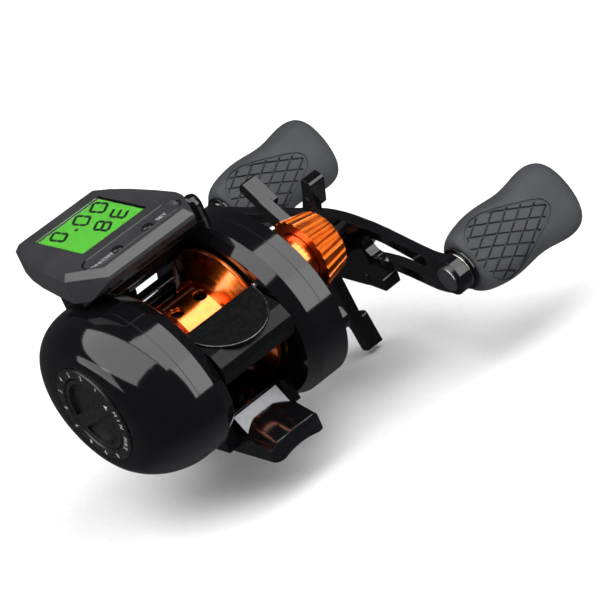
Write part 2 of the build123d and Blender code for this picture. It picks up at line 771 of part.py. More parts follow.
# Threaded collar round the end of the spool shaft, its seal and the tension knob
collar_flange_start = 25.4
collar_flange_radius = 7.2
collar_bore = 3.2
collar_end = 38.0
seal_groove_start = 35.0
seal_groove_end = 36.1
seal_groove_radius = 5.6
seal_wire = 0.42
knob_start = 34.4
knob_end = 42.4
knob_near_radius = 9.6
knob_far_radius = 7.75
knob_bore = 6.5
knob_floor = 39.0
knob_edge = 0.7
flute_count = 23
flute_radius = 0.9
flute_depth = 0.45
cover_inside = cover_face - cover_wall

with BuildPart() as tension_collar:
    pocket = collar_bearing_radius + seat_gap
    revolve(turned_face([(collar_flange_start, collar_bore), (collar_flange_start, collar_flange_radius),
                         (cover_inside, collar_flange_radius), (cover_inside, collar_radius),
                         (seal_groove_start, collar_radius), (seal_groove_start, seal_groove_radius),
                         (seal_groove_end, seal_groove_radius), (seal_groove_end, collar_radius),
                         (collar_end, collar_radius), (collar_end, pocket), (collar_bearing_start, pocket),
                         (collar_bearing_start, collar_bore)]), axis=line_along_x())
save(tension_collar, "tension_collar")

with BuildPart() as tension_o_ring:
    with Locations(place((seal_groove_start + seal_groove_end) / 2)):
        Torus(seal_groove_radius + seal_wire + seat_gap, seal_wire, rotation=(0, 90, 0))
save(tension_o_ring, "tension_o_ring")

with BuildPart() as tension_knob:
    knob_slope = atan2(knob_near_radius - knob_far_radius, knob_end - knob_start)
    revolve(turned_face([(knob_start, knob_bore), (knob_start, knob_near_radius),
                         (knob_end - knob_edge, knob_far_radius + knob_edge * tan(knob_slope)),
                         (knob_end, knob_far_radius - knob_edge), (knob_end, 0), (knob_floor, 0),
                         (knob_floor, knob_bore)]), axis=line_along_x())
    start_radius = knob_near_radius + flute_radius - flute_depth + overrun * tan(knob_slope)
    for forward, up in ring_points(flute_count, start_radius):
        down_slope = (cos(knob_slope), -sin(knob_slope) * forward / start_radius,
                      -sin(knob_slope) * up / start_radius)
        with Locations(Plane(origin=place(knob_start - overrun, (forward, up)), z_dir=down_slope)):
            Cylinder(flute_radius, knob_end - knob_start + 2 * overrun,
                     align=(Align.CENTER, Align.CENTER, Align.MIN), mode=Mode.SUBTRACT)
save(tension_knob, "tension_knob")

# Drive shaft with its shoulders, and the drag stack that it carries
drive_shaft_start = 11.6
shoulder_radius = 3.4
arm_hub_face = 55.0
nut_end = 57.6
drive_shaft_end = 58.2
drag_radius = 10.0
key_washer_radius = 9.4
drag_layer = 0.8
pressure_plate_thickness = 1.0
pressure_plate_radius = 9.0
drag_start = drive_gear_end
key_start = drag_start + drag_layer
second_drag_start = key_start + drag_layer
pressure_start = second_drag_start + drag_layer
sleeve_start = pressure_start + pressure_plate_thickness
sleeve_end = 34.1
cone_height = 0.7
cone_wall = 0.4
cone_radius = 4.5
shaft_bore = drive_shaft_radius + seat_gap

with BuildPart() as drive_shaft:
    cylinder(drive_shaft_start, drive_shaft_end, drive_shaft_radius, drive_axis)
    chamfer(drive_shaft.edges().filter_by_position(Axis.X, drive_shaft_end - touch, drive_shaft_end + touch),
            length=clearance)
    cylinder(web_right + clearance, wind_start, shoulder_radius, drive_axis)
    cylinder(wind_end, drive_gear_start, shoulder_radius, drive_axis)
save(drive_shaft, "drive_shaft")

with BuildPart() as drag_washers:
    for start in (drag_start, second_drag_start):
        cylinder(start, start + drag_layer, drag_radius, drive_axis)
    cylinder(drag_start - overrun, pressure_start + overrun, shaft_bore, drive_axis, mode=Mode.SUBTRACT)
save(drag_washers, "drag_washers")

with BuildPart() as drag_plates:
    cylinder(key_start, second_drag_start, key_washer_radius, drive_axis)
    cylinder(pressure_start, sleeve_start, pressure_plate_radius, drive_axis)
    cylinder(key_start - overrun, sleeve_start + overrun, shaft_bore, drive_axis, mode=Mode.SUBTRACT)
save(drag_plates, "drag_plates")

with BuildPart() as one_way_sleeve:
    cylinder(sleeve_start, sleeve_end, sleeve_radius, drive_axis)
    cylinder(sleeve_start - overrun, sleeve_end + overrun, shaft_bore, drive_axis, mode=Mode.SUBTRACT)
save(one_way_sleeve, "one_way_sleeve")

with BuildPart() as one_way_bearing:
    revolve(bearing_face(one_way_start, one_way_end, sleeve_radius + running, one_way_radius, drive_axis),
            axis=line_along_x(drive_axis))
save(one_way_bearing, "one_way_bearing")

with BuildPart() as spring_washers:
    spring_pair_end = sleeve_end + 2 * (cone_height + cone_wall)
    revolve(turned_face([(sleeve_end, shaft_bore), (sleeve_end + cone_wall, shaft_bore),
                         (sleeve_end + cone_height + cone_wall, cone_radius),
                         (sleeve_end + cone_height, cone_radius)], drive_axis), axis=line_along_x(drive_axis))
    revolve(turned_face([(spring_pair_end, shaft_bore), (spring_pair_end - cone_wall, shaft_bore),
                         (spring_pair_end - cone_height - cone_wall, cone_radius),
                         (spring_pair_end - cone_height, cone_radius)], drive_axis),
            axis=line_along_x(drive_axis))
save(spring_washers, "spring_washers")

# Star drag: a hub, a disc and five arms that end in finger paddles
star_hub_radius = 4.6
star_disc_start = 43.6
star_disc_end = 46.4
star_disc_radius = 6.6
star_arm_count = 5
star_arm_angle = 115.3
star_arm_root_radius = 3.0
star_arm_tip_radius = 1.7
star_arm_root = 4.0
star_arm_tip = 19.0
paddle_inner = 17.4
paddle_outer = 26.2
paddle_width = 3.4
paddle_start = 43.8
paddle_end = 48.2
paddle_edge = 0.8

with BuildPart() as star_drag:
    cylinder(spring_pair_end, star_disc_end, star_hub_radius, drive_axis)
    cylinder(star_disc_start, star_disc_end, star_disc_radius, drive_axis)
    for forward, up in ring_points(star_arm_count, star_arm_root, star_arm_angle):
        reach = star_arm_tip / star_arm_root
        with BuildSketch(side_plane(star_disc_start)) as star_arm:
            with Locations(shifted(drive_axis, forward, up)):
                Circle(star_arm_root_radius)
            with Locations(shifted(drive_axis, forward * reach, up * reach)):
                Circle(star_arm_tip_radius)
            make_hull()
        extrude(amount=star_disc_end - star_disc_start)
        middle = (paddle_inner + paddle_outer) / (2 * star_arm_root)
        with BuildSketch(side_plane(paddle_start)) as paddle:
            with Locations(shifted(drive_axis, forward * middle, up * middle)):
                Rectangle(paddle_outer - paddle_inner, paddle_width, rotation=degrees(atan2(up, forward)))
            fillet(paddle.vertices(), radius=paddle_edge)
        extrude(amount=paddle_end - paddle_start)
    cylinder(spring_pair_end - overrun, star_disc_end + overrun, drive_shaft_radius + running, drive_axis,
             mode=Mode.SUBTRACT)
save(star_drag, "star_drag")

# Handle arm: swept back towards its ends, with one long slot in each half
arm_pivot = 47.5
arm_thickness = 3.0
arm_profile = [(14.0, 55.0), (20.0, 54.4), (27.0, 53.2), (36.0, 51.6), (40.5, 50.85), (43.2, 50.6),
               (53.0, 50.6)]
arm_plan = [(0.0, 7.0), (6.0, 6.7), (13.0, 5.7), (27.0, 4.8), (47.5, 4.4)]
arm_end_face = 50.6
arm_end_radius = 4.6
arm_hub_radius = 7.0
arm_boss_radius = 4.2
arm_boss_start = 46.7
arm_slot_start = 12.7
arm_slot_start_radius = 3.2
arm_slot_end = 40.6
arm_slot_end_radius = 1.3
pin_radius = 2.0
retainer_screw_reach = 7.0
retainer_screw_shank = 0.9
retainer_screw_start = 53.0

with BuildPart() as handle_arm:
    right_edge = [(reach, half) for reach, half in arm_plan]
    left_edge = [(-reach, half) for reach, half in reversed(arm_plan[1:])]
    upper_edge = left_edge + right_edge
    lower_edge = [(reach, -half) for reach, half in reversed(upper_edge)]
    with BuildSketch(side_plane(arm_boss_start - overrun)) as arm_outline:
        with Locations(drive_axis):
            with BuildLine(mode=Mode.PRIVATE) as arm_edges:
                Spline(*upper_edge)
                Line(upper_edge[-1], lower_edge[0])
                Spline(*lower_edge)
                Line(lower_edge[-1], upper_edge[0])
            add(make_face(arm_edges.edges(), mode=Mode.PRIVATE))
            Circle(arm_hub_radius)
        with Locations(shifted(drive_axis, arm_pivot, 0), shifted(drive_axis, -arm_pivot, 0)):
            Circle(arm_end_radius)
    extrude(amount=arm_hub_face - arm_boss_start + 2 * overrun)
    lengthwise = Plane(origin=(0, drive_forward, axis_height - drive_drop + arm_hub_radius + overrun),
                       x_dir=(0, 1, 0), z_dir=(0, 0, -1))
    outer_edge = [(-reach, x) for reach, x in reversed(arm_profile)] + arm_profile
    inner_edge = [(reach, x - arm_thickness) for reach, x in reversed(outer_edge)]
    with BuildSketch(lengthwise) as arm_side:
        with BuildLine():
            Polyline(*outer_edge, *inner_edge, close=True)
        make_face()
    extrude(amount=2 * (arm_hub_radius + overrun), mode=Mode.INTERSECT)
    cylinder(arm_boss_start, arm_hub_face - arm_thickness + touch, arm_boss_radius, drive_axis)
    for side in (-1, 1):
        with BuildSketch(side_plane(arm_boss_start)) as arm_slot:
            with Locations(shifted(drive_axis, side * arm_slot_start, 0)):
                Circle(arm_slot_start_radius)
            with Locations(shifted(drive_axis, side * arm_slot_end, 0)):
                Circle(arm_slot_end_radius)
            make_hull()
        extrude(amount=arm_hub_face - arm_boss_start + overrun, mode=Mode.SUBTRACT)
        cylinder(arm_boss_start - overrun, arm_hub_face + overrun, pin_radius + seat_gap,
                 shifted(drive_axis, side * arm_pivot, 0), mode=Mode.SUBTRACT)
    cylinder(arm_boss_start - overrun, arm_hub_face + overrun, shaft_bore, drive_axis, mode=Mode.SUBTRACT)
    cylinder(retainer_screw_start, arm_hub_face + overrun, retainer_screw_shank + seat_gap,
             shifted(drive_axis, -retainer_screw_reach, 0), mode=Mode.SUBTRACT)
save(handle_arm, "handle_arm")

# Handle nut, the plate that keeps it from turning, and the screw of that plate
nut_radius = 4.3
retainer_thickness = 1.2
retainer_hub_radius = 5.6
retainer_tail_radius = 2.2
retainer_head_radius = 1.7
retainer_head_height = 0.9

with BuildPart() as handle_nut:
    with BuildSketch(side_plane(arm_hub_face)) as nut_section:
        with Locations(drive_axis):
            RegularPolygon(nut_radius, 6)
            Circle(shaft_bore, mode=Mode.SUBTRACT)
    extrude(amount=nut_end - arm_hub_face)
save(handle_nut, "handle_nut")

with BuildPart() as nut_retainer:
    with BuildSketch(side_plane(arm_hub_face)) as retainer_section:
        with Locations(drive_axis):
            Circle(retainer_hub_radius)
        with Locations(shifted(drive_axis, -retainer_screw_reach, 0)):
            Circle(retainer_tail_radius)
        make_hull()
        with Locations(drive_axis):
            RegularPolygon(nut_radius + running, 6, mode=Mode.SUBTRACT)
        with Locations(shifted(drive_axis, -retainer_screw_reach, 0)):
            Circle(retainer_screw_shank + seat_gap, mode=Mode.SUBTRACT)
    extrude(amount=retainer_thickness)
save(nut_retainer, "nut_retainer")

with BuildPart() as retainer_screw:
    screw_spot = shifted(drive_axis, -retainer_screw_reach, 0)
    screw_seat = arm_hub_face + retainer_thickness
    cylinder(retainer_screw_start, screw_seat + touch, retainer_screw_shank, screw_spot)
    cylinder(screw_seat, screw_seat + retainer_head_height, retainer_head_radius, screw_spot)
    with Locations(place(screw_seat + retainer_head_height, screw_spot)):
        Box(cross_slot_deep, cross_slot_wide, 2 * retainer_head_radius, mode=Mode.SUBTRACT)
save(retainer_screw, "retainer_screw")

# Knob spindles: riveted through the arm, each with a collar that the knob runs against
rivet_radius = 3.1
rivet_height = 0.8
knob_collar_radius = 3.9
knob_collar_end = 53.5
spindle_end = 83.0
spindle_head_radius = 2.9
spindle_head_height = 0.8
front_pivot = shifted(drive_axis, arm_pivot, 0)
rear_pivot = shifted(drive_axis, -arm_pivot, 0)
arm_back = arm_end_face - arm_thickness

with BuildPart() as knob_spindles:
    for spot in (front_pivot, rear_pivot):
        cylinder(arm_back - rivet_height, arm_back, rivet_radius, spot)
        cylinder(arm_back - touch, spindle_end + touch, pin_radius, spot)
        cylinder(arm_end_face, knob_collar_end, knob_collar_radius, spot)
        cylinder(spindle_end, spindle_end + spindle_head_height, spindle_head_radius, spot)
save(knob_spindles, "knob_spindles")

# Handle knobs: broad paddles, round at the mouth and swelling towards the far end
knob_sections = [(53.6, 6.2, 4.8), (56.0, 8.0, 5.3), (60.0, 9.1, 5.8), (64.0, 9.4, 5.9), (69.0, 9.2, 5.9),
                 (73.0, 9.0, 5.8), (78.0, 10.1, 5.9), (81.5, 9.7, 5.6), (84.0, 8.3, 4.9), (85.4, 6.0, 4.2)]
knob_corner_share = 0.55
knob_tilt = 60.0
knob_hollow_start = 82.6
knob_hollow_radius = 3.5
knob_cap_start = 84.2
knob_cap_end = 85.6


def build_knob(spot):
    """Paddle lofted along the spindle, with its bore and end pocket."""
    sections = []
    for x, half_width, half_thickness in knob_sections:
        wide = (0, cos(radians(knob_tilt)), sin(radians(knob_tilt)))
        with BuildSketch(Plane(origin=place(x, spot), x_dir=wide, z_dir=(1, 0, 0))) as section:
            RectangleRounded(2 * half_width, 2 * half_thickness, half_thickness * knob_corner_share)
        sections.append(section.sketch)
    with BuildPart() as knob:
        loft(sections)
        cylinder(knob_collar_end - overrun, knob_cap_end + overrun, pin_radius + running, spot,
                 mode=Mode.SUBTRACT)
        cylinder(knob_hollow_start, knob_cap_end + overrun, knob_hollow_radius, spot, mode=Mode.SUBTRACT)
    return knob


def build_cap(spot):
    """Disc that closes the far end of a knob."""
    with BuildPart() as cap:
        cylinder(knob_cap_start, knob_cap_end, knob_hollow_radius - seat_gap, spot)
        chamfer(cap.edges().filter_by_position(Axis.X, knob_cap_end - touch, knob_cap_end + touch),
                length=clearance)
    return cap


save(build_knob(front_pivot), "handle_knob_front")
save(build_knob(rear_pivot), "handle_knob_rear")
save(build_cap(front_pivot), "knob_cap_front")
save(build_cap(rear_pivot), "knob_cap_rear")

# Thumb bar: a tilted plate with a skirt, its underside cleared for the spool
bar_edge_back = 15.7
bar_edge_up = 10.2
bar_tilt = radians(20)
bar_half_width = 10.9
bar_depth = 13.0
bar_plate = 2.2
bar_pad = 0.6
bar_wall = 1.5
bar_brow_back = 24.4
bar_heel_back = 26.6
bar_heel_top = 3.6
bar_heel_foot = 1.4
bar_hem_back = 25.2
bar_hem_drop = 1.3
bar_cheek_back = 19.0
bar_cheek_up = 3.2
bar_hollow = 18.3
tang_start = 8.2
tang_end = 15.0

with BuildPart() as thumb_bar:
    bar_plane = Plane(origin=(0, -bar_edge_back, axis_height + bar_edge_up), x_dir=(1, 0, 0),
                      z_dir=(0, -sin(bar_tilt), cos(bar_tilt)))
    with BuildSketch(bar_plane) as bar_outline:
        Ellipse(bar_half_width, bar_depth)
        Rectangle(2 * bar_half_width, bar_depth, align=(Align.CENTER, Align.MAX), mode=Mode.INTERSECT)
    extrude(amount=-bar_pad - touch)
    brow_up = bar_edge_up - bar_pad - (bar_brow_back - bar_edge_back) * tan(bar_tilt)
    shield = [(-bar_edge_back, bar_edge_up - bar_pad), (-bar_brow_back, brow_up),
              (-bar_heel_back, bar_heel_top), (-bar_heel_back, bar_heel_foot), (-bar_hem_back, -bar_hem_drop)]
    with BuildSketch(side_plane(-bar_half_width)) as shield_section:
        with BuildLine():
            Polyline(*shield, (-bar_hem_back + bar_wall, -bar_hem_drop),
                     (-bar_heel_back + bar_wall, bar_heel_foot), (-bar_heel_back + bar_wall, bar_heel_top),
                     (-bar_brow_back + bar_wall, brow_up - bar_wall),
                     (-bar_edge_back, bar_edge_up - bar_plate), close=True)
        make_face()
    extrude(amount=2 * bar_half_width)
    for cheek_x in (-bar_half_width, bar_half_width - bar_wall):
        with BuildSketch(side_plane(cheek_x)) as cheek:
            with BuildLine():
                Polyline(*shield, (-bar_cheek_back, bar_cheek_up), close=True)
            make_face()
        extrude(amount=bar_wall)
    with BuildSketch(side_plane(tang_start)) as tang_section:
        with Locations((-tang_back, tang_up)):
            Rectangle(tang_long, tang_wide, rotation=travel_angle)
    extrude(amount=tang_end - tang_start)
    cylinder(bay_left - overrun, bay_right + overrun, bar_hollow, mode=Mode.SUBTRACT)
save(thumb_bar, "thumb_bar")

# Level wind: worm in its tube, guide rod, and the guide that carries the line
worm_radius = 2.3
tube_radius = 3.3
tube_bore = 2.6
tube_slot_half = 9.0
tube_slot_width = 2.4
tube_slot_up = 1.5
worm_half = 10.9
worm_left = -14.0
worm_right = 17.6
rod_half = bay_width / 2 + rod_seat
guide_half = 3.6
guide_barrel_radius = 4.5
guide_boss_radius = 2.2
eye_set_back = 1.0
eye_length = 4.0
eye_rear = rod_forward - eye_set_back
eye_front = eye_rear + eye_length
eye_up = 6.5
eye_shell_radius = 4.3
eye_ring_radius = 3.2
eye_ring_bore = 2.0
eye_ring_round = 0.55
eye_ring_lip = 0.4
pawl_radius = 1.0
pawl_top = 2.4
pawl_cap_radius = 1.7
pawl_cap_height = 0.6

with BuildPart() as worm_shaft:
    cylinder(worm_left, worm_right, worm_journal, worm_axis)
    cylinder(-worm_half, worm_half, worm_radius, worm_axis)
save(worm_shaft, "worm_shaft")

with BuildPart() as worm_tube:
    cylinder(bay_left, bay_right, tube_radius, worm_axis)
    cylinder(bay_left - overrun, bay_right + overrun, tube_bore, worm_axis, mode=Mode.SUBTRACT)
    block((-tube_slot_half, tube_slot_half),
          (worm_forward - tube_slot_width / 2, worm_forward + tube_slot_width / 2),
          (-worm_drop - tube_radius - overrun, -worm_drop - tube_slot_up), mode=Mode.SUBTRACT)
save(worm_tube, "worm_tube")

with BuildPart() as guide_rod:
    cylinder(-rod_half, rod_half, rod_radius, rod_axis)
save(guide_rod, "guide_rod")

with BuildPart() as line_guide:
    with BuildSketch(side_plane(-guide_half)) as guide_section:
        with Locations(worm_axis):
            Circle(guide_barrel_radius)
        with Locations(rod_axis):
            Circle(guide_boss_radius)
        make_hull()
        with Locations((eye_rear, rod_rise)):
            Rectangle(eye_front - eye_rear, eye_up - rod_rise, align=(Align.MIN, Align.MIN))
    extrude(amount=2 * guide_half)
    with Locations((0, eye_rear, axis_height + eye_up)):
        Cylinder(eye_shell_radius, eye_front - eye_rear, rotation=(-90, 0, 0),
                 align=(Align.CENTER, Align.CENTER, Align.MIN))
    with Locations((0, eye_rear - overrun, axis_height + eye_up)):
        Cylinder(eye_ring_radius + seat_gap, eye_front - eye_rear + 2 * overrun, rotation=(-90, 0, 0),
                 align=(Align.CENTER, Align.CENTER, Align.MIN), mode=Mode.SUBTRACT)
    cylinder(-guide_half - overrun, guide_half + overrun, tube_radius + running, worm_axis,
             mode=Mode.SUBTRACT)
    cylinder(-guide_half - overrun, guide_half + overrun, rod_radius + running, rod_axis,
             mode=Mode.SUBTRACT)
    upright((0, worm_forward), -worm_drop - guide_barrel_radius - overrun, -worm_drop,
            pawl_radius + seat_gap, mode=Mode.SUBTRACT)
    block((-pawl_cap_radius, pawl_cap_radius),
          (worm_forward - pawl_cap_radius, worm_forward + pawl_cap_radius),
          (-worm_drop - guide_barrel_radius - overrun, -worm_drop - guide_barrel_radius + clearance),
          mode=Mode.SUBTRACT)
save(line_guide, "line_guide")

with BuildPart() as line_guide_ring:
    with Locations((0, eye_rear - eye_ring_lip, axis_height + eye_up)):
        Cylinder(eye_ring_radius, eye_front - eye_rear + 2 * eye_ring_lip, rotation=(-90, 0, 0),
                 align=(Align.CENTER, Align.CENTER, Align.MIN))
        Cylinder(eye_ring_bore, eye_front - eye_rear + 2 * eye_ring_lip, rotation=(-90, 0, 0),
                 align=(Align.CENTER, Align.CENTER, Align.MIN), mode=Mode.SUBTRACT)
    mouth = line_guide_ring.edges().filter_by(GeomType.CIRCLE).filter_by(
        lambda edge: abs(edge.radius - eye_ring_bore) < touch)
    fillet(mouth, radius=eye_ring_round)
save(line_guide_ring, "line_guide_ring")

with BuildPart() as guide_pawl:
    pawl_seat = -worm_drop - guide_barrel_radius + clearance
    upright((0, worm_forward), pawl_seat - pawl_cap_height, pawl_seat, pawl_cap_radius)
    upright((0, worm_forward), pawl_seat - touch, -worm_drop - pawl_top, pawl_radius)
save(guide_pawl, "guide_pawl")

# Display case: outlines are (half width, forward) pairs, the same on both sides of its middle
case_centre_x = -3.7
tray_height = 2.3
case_side_height = 5.8
case_bevel_height = 1.6
case_seam = case_floor + tray_height
case_shoulder = case_seam + case_side_height
case_top = case_shoulder + case_bevel_height
case_rim = [(12.3, -5.4), (15.1, -0.1), (17.2, 3.8), (16.4, 11.1), (15.0, 20.0), (13.5, 26.2), (11.6, 31.2)]
case_belt = [(13.2, -7.5), (16.3, -0.8), (18.4, 3.6), (17.5, 11.3), (16.1, 20.2), (14.6, 26.6), (12.6, 32.4)]
case_wall = 1.8
case_ceiling = case_top - case_wall
case_room = 40.0
undercut_start = 7.5
undercut_depth = 2.6
undercut_top = case_top - undercut_depth
undercut_end = 3.0
undercut_foot = case_floor - clearance
inside_rear = 1.6
tray_wall = 3.4
tray_bottom = 1.0
tray_floor = case_floor + tray_bottom
tray_rear = 3.6
tray_step = 0.9
tray_taper = 2.0
boss_places = [(13.4, 6.5), (9.4, 28.3)]
case_boss_radius = 1.6
tray_boss_radius = 2.0
case_screw_shank = 0.8
case_screw_head = 1.4
case_screw_head_depth = 1.0
case_screw_cover = 1.7
case_screw_top = case_ceiling - case_screw_cover
window_left = -13.5
window_right = 6.5
window_rear = 6.6
window_front = 26.7
window_ledge = 0.4
panel_gap = 0.1
lens_thickness = 0.7
lens_floor = case_top - lens_thickness
panel_top = lens_floor - panel_gap
pill_left = -17.0
pill_right = 10.0
pill_rear = -3.2
pill_front = 1.0
pill_bank_ends = 1.0
pill_bank_rear = 0.4
pill_bank_front = 2.2
pill_depth = 0.6
button_places = [(-8.87, -1.3), (0.46, -1.3)]
button_radius = 1.45
button_proud = 0.1
button_flange_radius = 2.0
button_flange_thickness = 0.75
button_room_side = 2.6
button_room_lift = 0.15
button_room_cover = 0.2
button_room_depth = 1.6
button_top = case_top + button_proud
button_room_top = case_ceiling - button_room_cover
button_flange_top = button_room_top - button_room_lift
button_flange_bottom = button_flange_top - button_flange_thickness
button_room_bottom = button_room_top - button_room_depth


def case_face(outline, up, inset=0.0, rear=-case_room):
    """Outline of the display case at one height, drawn in by an inset and cut off behind."""
    right = [(case_centre_x + half, forward) for half, forward in outline]
    left = [(case_centre_x - half, forward) for half, forward in reversed(outline)]
    with BuildSketch(Plane.XY.offset(axis_height + up)) as face:
        with BuildLine():
            Polyline(*right, *left, close=True)
        make_face()
        if inset:
            offset(amount=-inset, kind=Kind.INTERSECTION)
        with Locations((case_centre_x, rear)):
            Rectangle(2 * case_room, 2 * case_room, align=(Align.CENTER, Align.MIN), mode=Mode.INTERSECT)
    return face.sketch


def undercut_face():
    """Wedge that is cut away below the rear lip of the case."""
    with BuildSketch(side_plane(case_centre_x - case_room / 2)) as wedge:
        with BuildLine():
            Polyline((-undercut_start - overrun, undercut_top), (-undercut_start, undercut_top),
                     (undercut_end, undercut_foot), (undercut_end, undercut_foot - overrun),
                     (-undercut_start - overrun, undercut_foot - overrun), close=True)
        make_face()
    return wedge.sketch


def pill_slot(up, x_range, y_range):
    """Round-ended outline of the button recess at one height."""
    with BuildSketch(Plane.XY.offset(axis_height + up)) as slot:
        with Locations((sum(x_range) / 2, sum(y_range) / 2)):
            SlotOverall(x_range[1] - x_range[0], y_range[1] - y_range[0])
    return slot.sketch


def boss_spots():
    """Places of the four case screws."""
    return [(case_centre_x + side * half, forward) for half, forward in boss_places for side in (-1, 1)]


with BuildPart() as display_top_case:
    extrude(case_face(case_belt, case_seam), amount=case_shoulder - case_seam)
    loft([case_face(case_belt, case_shoulder), case_face(case_rim, case_top)], ruled=True)
    extrude(undercut_face(), amount=case_room, mode=Mode.SUBTRACT)
    extrude(case_face(case_belt, case_seam - overrun, case_wall, inside_rear),
            amount=case_ceiling - case_seam + overrun, mode=Mode.SUBTRACT)
    for spot in boss_spots():
        upright(spot, case_seam, case_ceiling + touch, case_boss_radius)
        upright(spot, case_seam - overrun, case_screw_top, case_screw_shank + seat_gap, mode=Mode.SUBTRACT)
    block((window_left, window_right), (window_rear, window_front), (lens_floor, case_top + overrun),
          mode=Mode.SUBTRACT)
    block((window_left + window_ledge, window_right - window_ledge),
          (window_rear + window_ledge, window_front - window_ledge),
          (case_ceiling - overrun, case_top + overrun), mode=Mode.SUBTRACT)
    loft([pill_slot(case_top - pill_depth, (pill_left, pill_right), (pill_rear, pill_front)),
          pill_slot(case_top, (pill_left - pill_bank_ends, pill_right + pill_bank_ends),
                    (pill_rear - pill_bank_rear, pill_front + pill_bank_front))],
         ruled=True, mode=Mode.SUBTRACT)
    for spot in button_places:
        upright(spot, button_room_bottom, case_top + overrun, button_radius + running, mode=Mode.SUBTRACT)
        block((spot[0] - button_room_side, spot[0] + button_room_side),
              (spot[1] - button_room_side, inside_rear + touch), (button_room_bottom, button_room_top),
              mode=Mode.SUBTRACT)
save(display_top_case, "display_top_case")

with BuildPart() as display_bottom_case:
    loft([case_face(case_belt, case_floor, tray_taper), case_face(case_belt, case_seam, tray_step)],
         ruled=True)
    extrude(undercut_face(), amount=case_room, mode=Mode.SUBTRACT)
    extrude(case_face(case_belt, tray_floor, tray_wall, tray_rear),
            amount=case_seam - tray_floor + overrun, mode=Mode.SUBTRACT)
    for spot in boss_spots():
        upright(spot, case_floor, case_seam, tray_boss_radius)
        upright(spot, case_floor - overrun, case_seam + overrun, case_screw_shank + seat_gap,
                mode=Mode.SUBTRACT)
        upright(spot, case_floor - overrun, case_floor + case_screw_head_depth, case_screw_head + clearance,
                mode=Mode.SUBTRACT)
save(display_bottom_case, "display_bottom_case")

with BuildPart() as case_screws:
    for spot in boss_spots():
        upright(spot, case_floor, case_screw_top, case_screw_shank)
        upright(spot, case_floor, case_floor + case_screw_head_depth, case_screw_head)
        with Locations((spot[0], spot[1], axis_height + case_floor)):
            Box(2 * case_screw_head, cross_slot_wide, cross_slot_deep, mode=Mode.SUBTRACT)
save(case_screws, "case_screws")

with BuildPart() as display_lens:
    block((window_left + seat_gap, window_right - seat_gap),
          (window_rear + seat_gap, window_front - seat_gap), (lens_floor, case_top))
save(display_lens, "display_lens")

# Inside the display case
gasket_height = 0.9
gasket_width = 1.0
board_thickness = 1.0
cell_radius = 8.0
cell_forward = 16.8
cell_height = 2.0
board_floor = case_seam + gasket_height
panel_floor = board_floor + board_thickness

with BuildPart() as case_gasket:
    extrude(case_face(case_belt, case_seam, case_wall + seat_gap, inside_rear + seat_gap),
            amount=gasket_height)
    extrude(case_face(case_belt, case_seam, case_wall + gasket_width, inside_rear + gasket_width),
            amount=gasket_height, mode=Mode.SUBTRACT)
    for spot in boss_spots():
        upright(spot, case_seam - overrun, panel_floor, case_boss_radius + clearance, mode=Mode.SUBTRACT)
save(case_gasket, "case_gasket")

with BuildPart() as circuit_board:
    extrude(case_face(case_belt, board_floor, case_wall + clearance, inside_rear + clearance),
            amount=board_thickness)
    for spot in boss_spots():
        upright(spot, case_seam, case_ceiling, case_boss_radius + clearance, mode=Mode.SUBTRACT)
save(circuit_board, "circuit_board")

with BuildPart() as lcd_panel:
    block((window_left + clearance, window_right - clearance),
          (window_rear + clearance, window_front - clearance), (panel_floor, case_ceiling))
    raised_inset = window_ledge + panel_gap
    block((window_left + raised_inset, window_right - raised_inset),
          (window_rear + raised_inset, window_front - raised_inset), (panel_floor, panel_top))
save(lcd_panel, "lcd_panel")

with BuildPart() as coin_cell:
    upright((case_centre_x, cell_forward), tray_floor, tray_floor + cell_height, cell_radius)
save(coin_cell, "coin_cell")


def build_button(spot):
    """Push button held under the case by a flange."""
    with BuildPart() as button:
        upright(spot, button_flange_bottom, button_top, button_radius)
        chamfer(button.edges().group_by(Axis.Z)[-1], length=clearance)
        upright(spot, button_flange_bottom, button_flange_top, button_flange_radius)
    return button


save(build_button(button_places[0]), "button_on_off")
save(build_button(button_places[1]), "button_set")
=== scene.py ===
"""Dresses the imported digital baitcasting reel: finishes, grips, readout, printed marks and studio.

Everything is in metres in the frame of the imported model: +X runs towards the handle, +Y towards the rod
tip and +Z up from the rod. Sizes in millimetres are turned to metres where they are used.
"""
from math import atan2, cos, hypot, pi, radians, sin, sqrt

import bmesh
import bpy
from mathutils import Matrix, Vector


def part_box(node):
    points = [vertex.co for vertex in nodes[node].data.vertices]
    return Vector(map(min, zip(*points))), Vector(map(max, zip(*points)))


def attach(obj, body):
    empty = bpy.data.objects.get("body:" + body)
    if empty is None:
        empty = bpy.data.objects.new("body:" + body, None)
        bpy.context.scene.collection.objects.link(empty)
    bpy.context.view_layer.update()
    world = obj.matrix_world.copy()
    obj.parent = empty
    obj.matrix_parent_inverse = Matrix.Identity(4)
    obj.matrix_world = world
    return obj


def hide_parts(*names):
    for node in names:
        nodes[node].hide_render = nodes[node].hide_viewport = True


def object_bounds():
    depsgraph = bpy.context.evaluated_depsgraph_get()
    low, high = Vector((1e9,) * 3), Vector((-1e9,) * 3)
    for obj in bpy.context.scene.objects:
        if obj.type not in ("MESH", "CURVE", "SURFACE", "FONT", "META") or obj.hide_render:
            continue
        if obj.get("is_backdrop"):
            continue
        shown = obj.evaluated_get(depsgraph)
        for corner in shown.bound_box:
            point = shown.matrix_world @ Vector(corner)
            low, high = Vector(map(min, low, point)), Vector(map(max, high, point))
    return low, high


bl_info = {
    "name": "Digital baitcasting reel",
    "version": (1, 0, 0),
    "blender": (4, 5, 0),
    "location": "View3D > Sidebar > Reel",
    "description": "Builds the grips, readout, marks, finishes and studio of a digital baitcasting reel",
    "category": "Object",
}

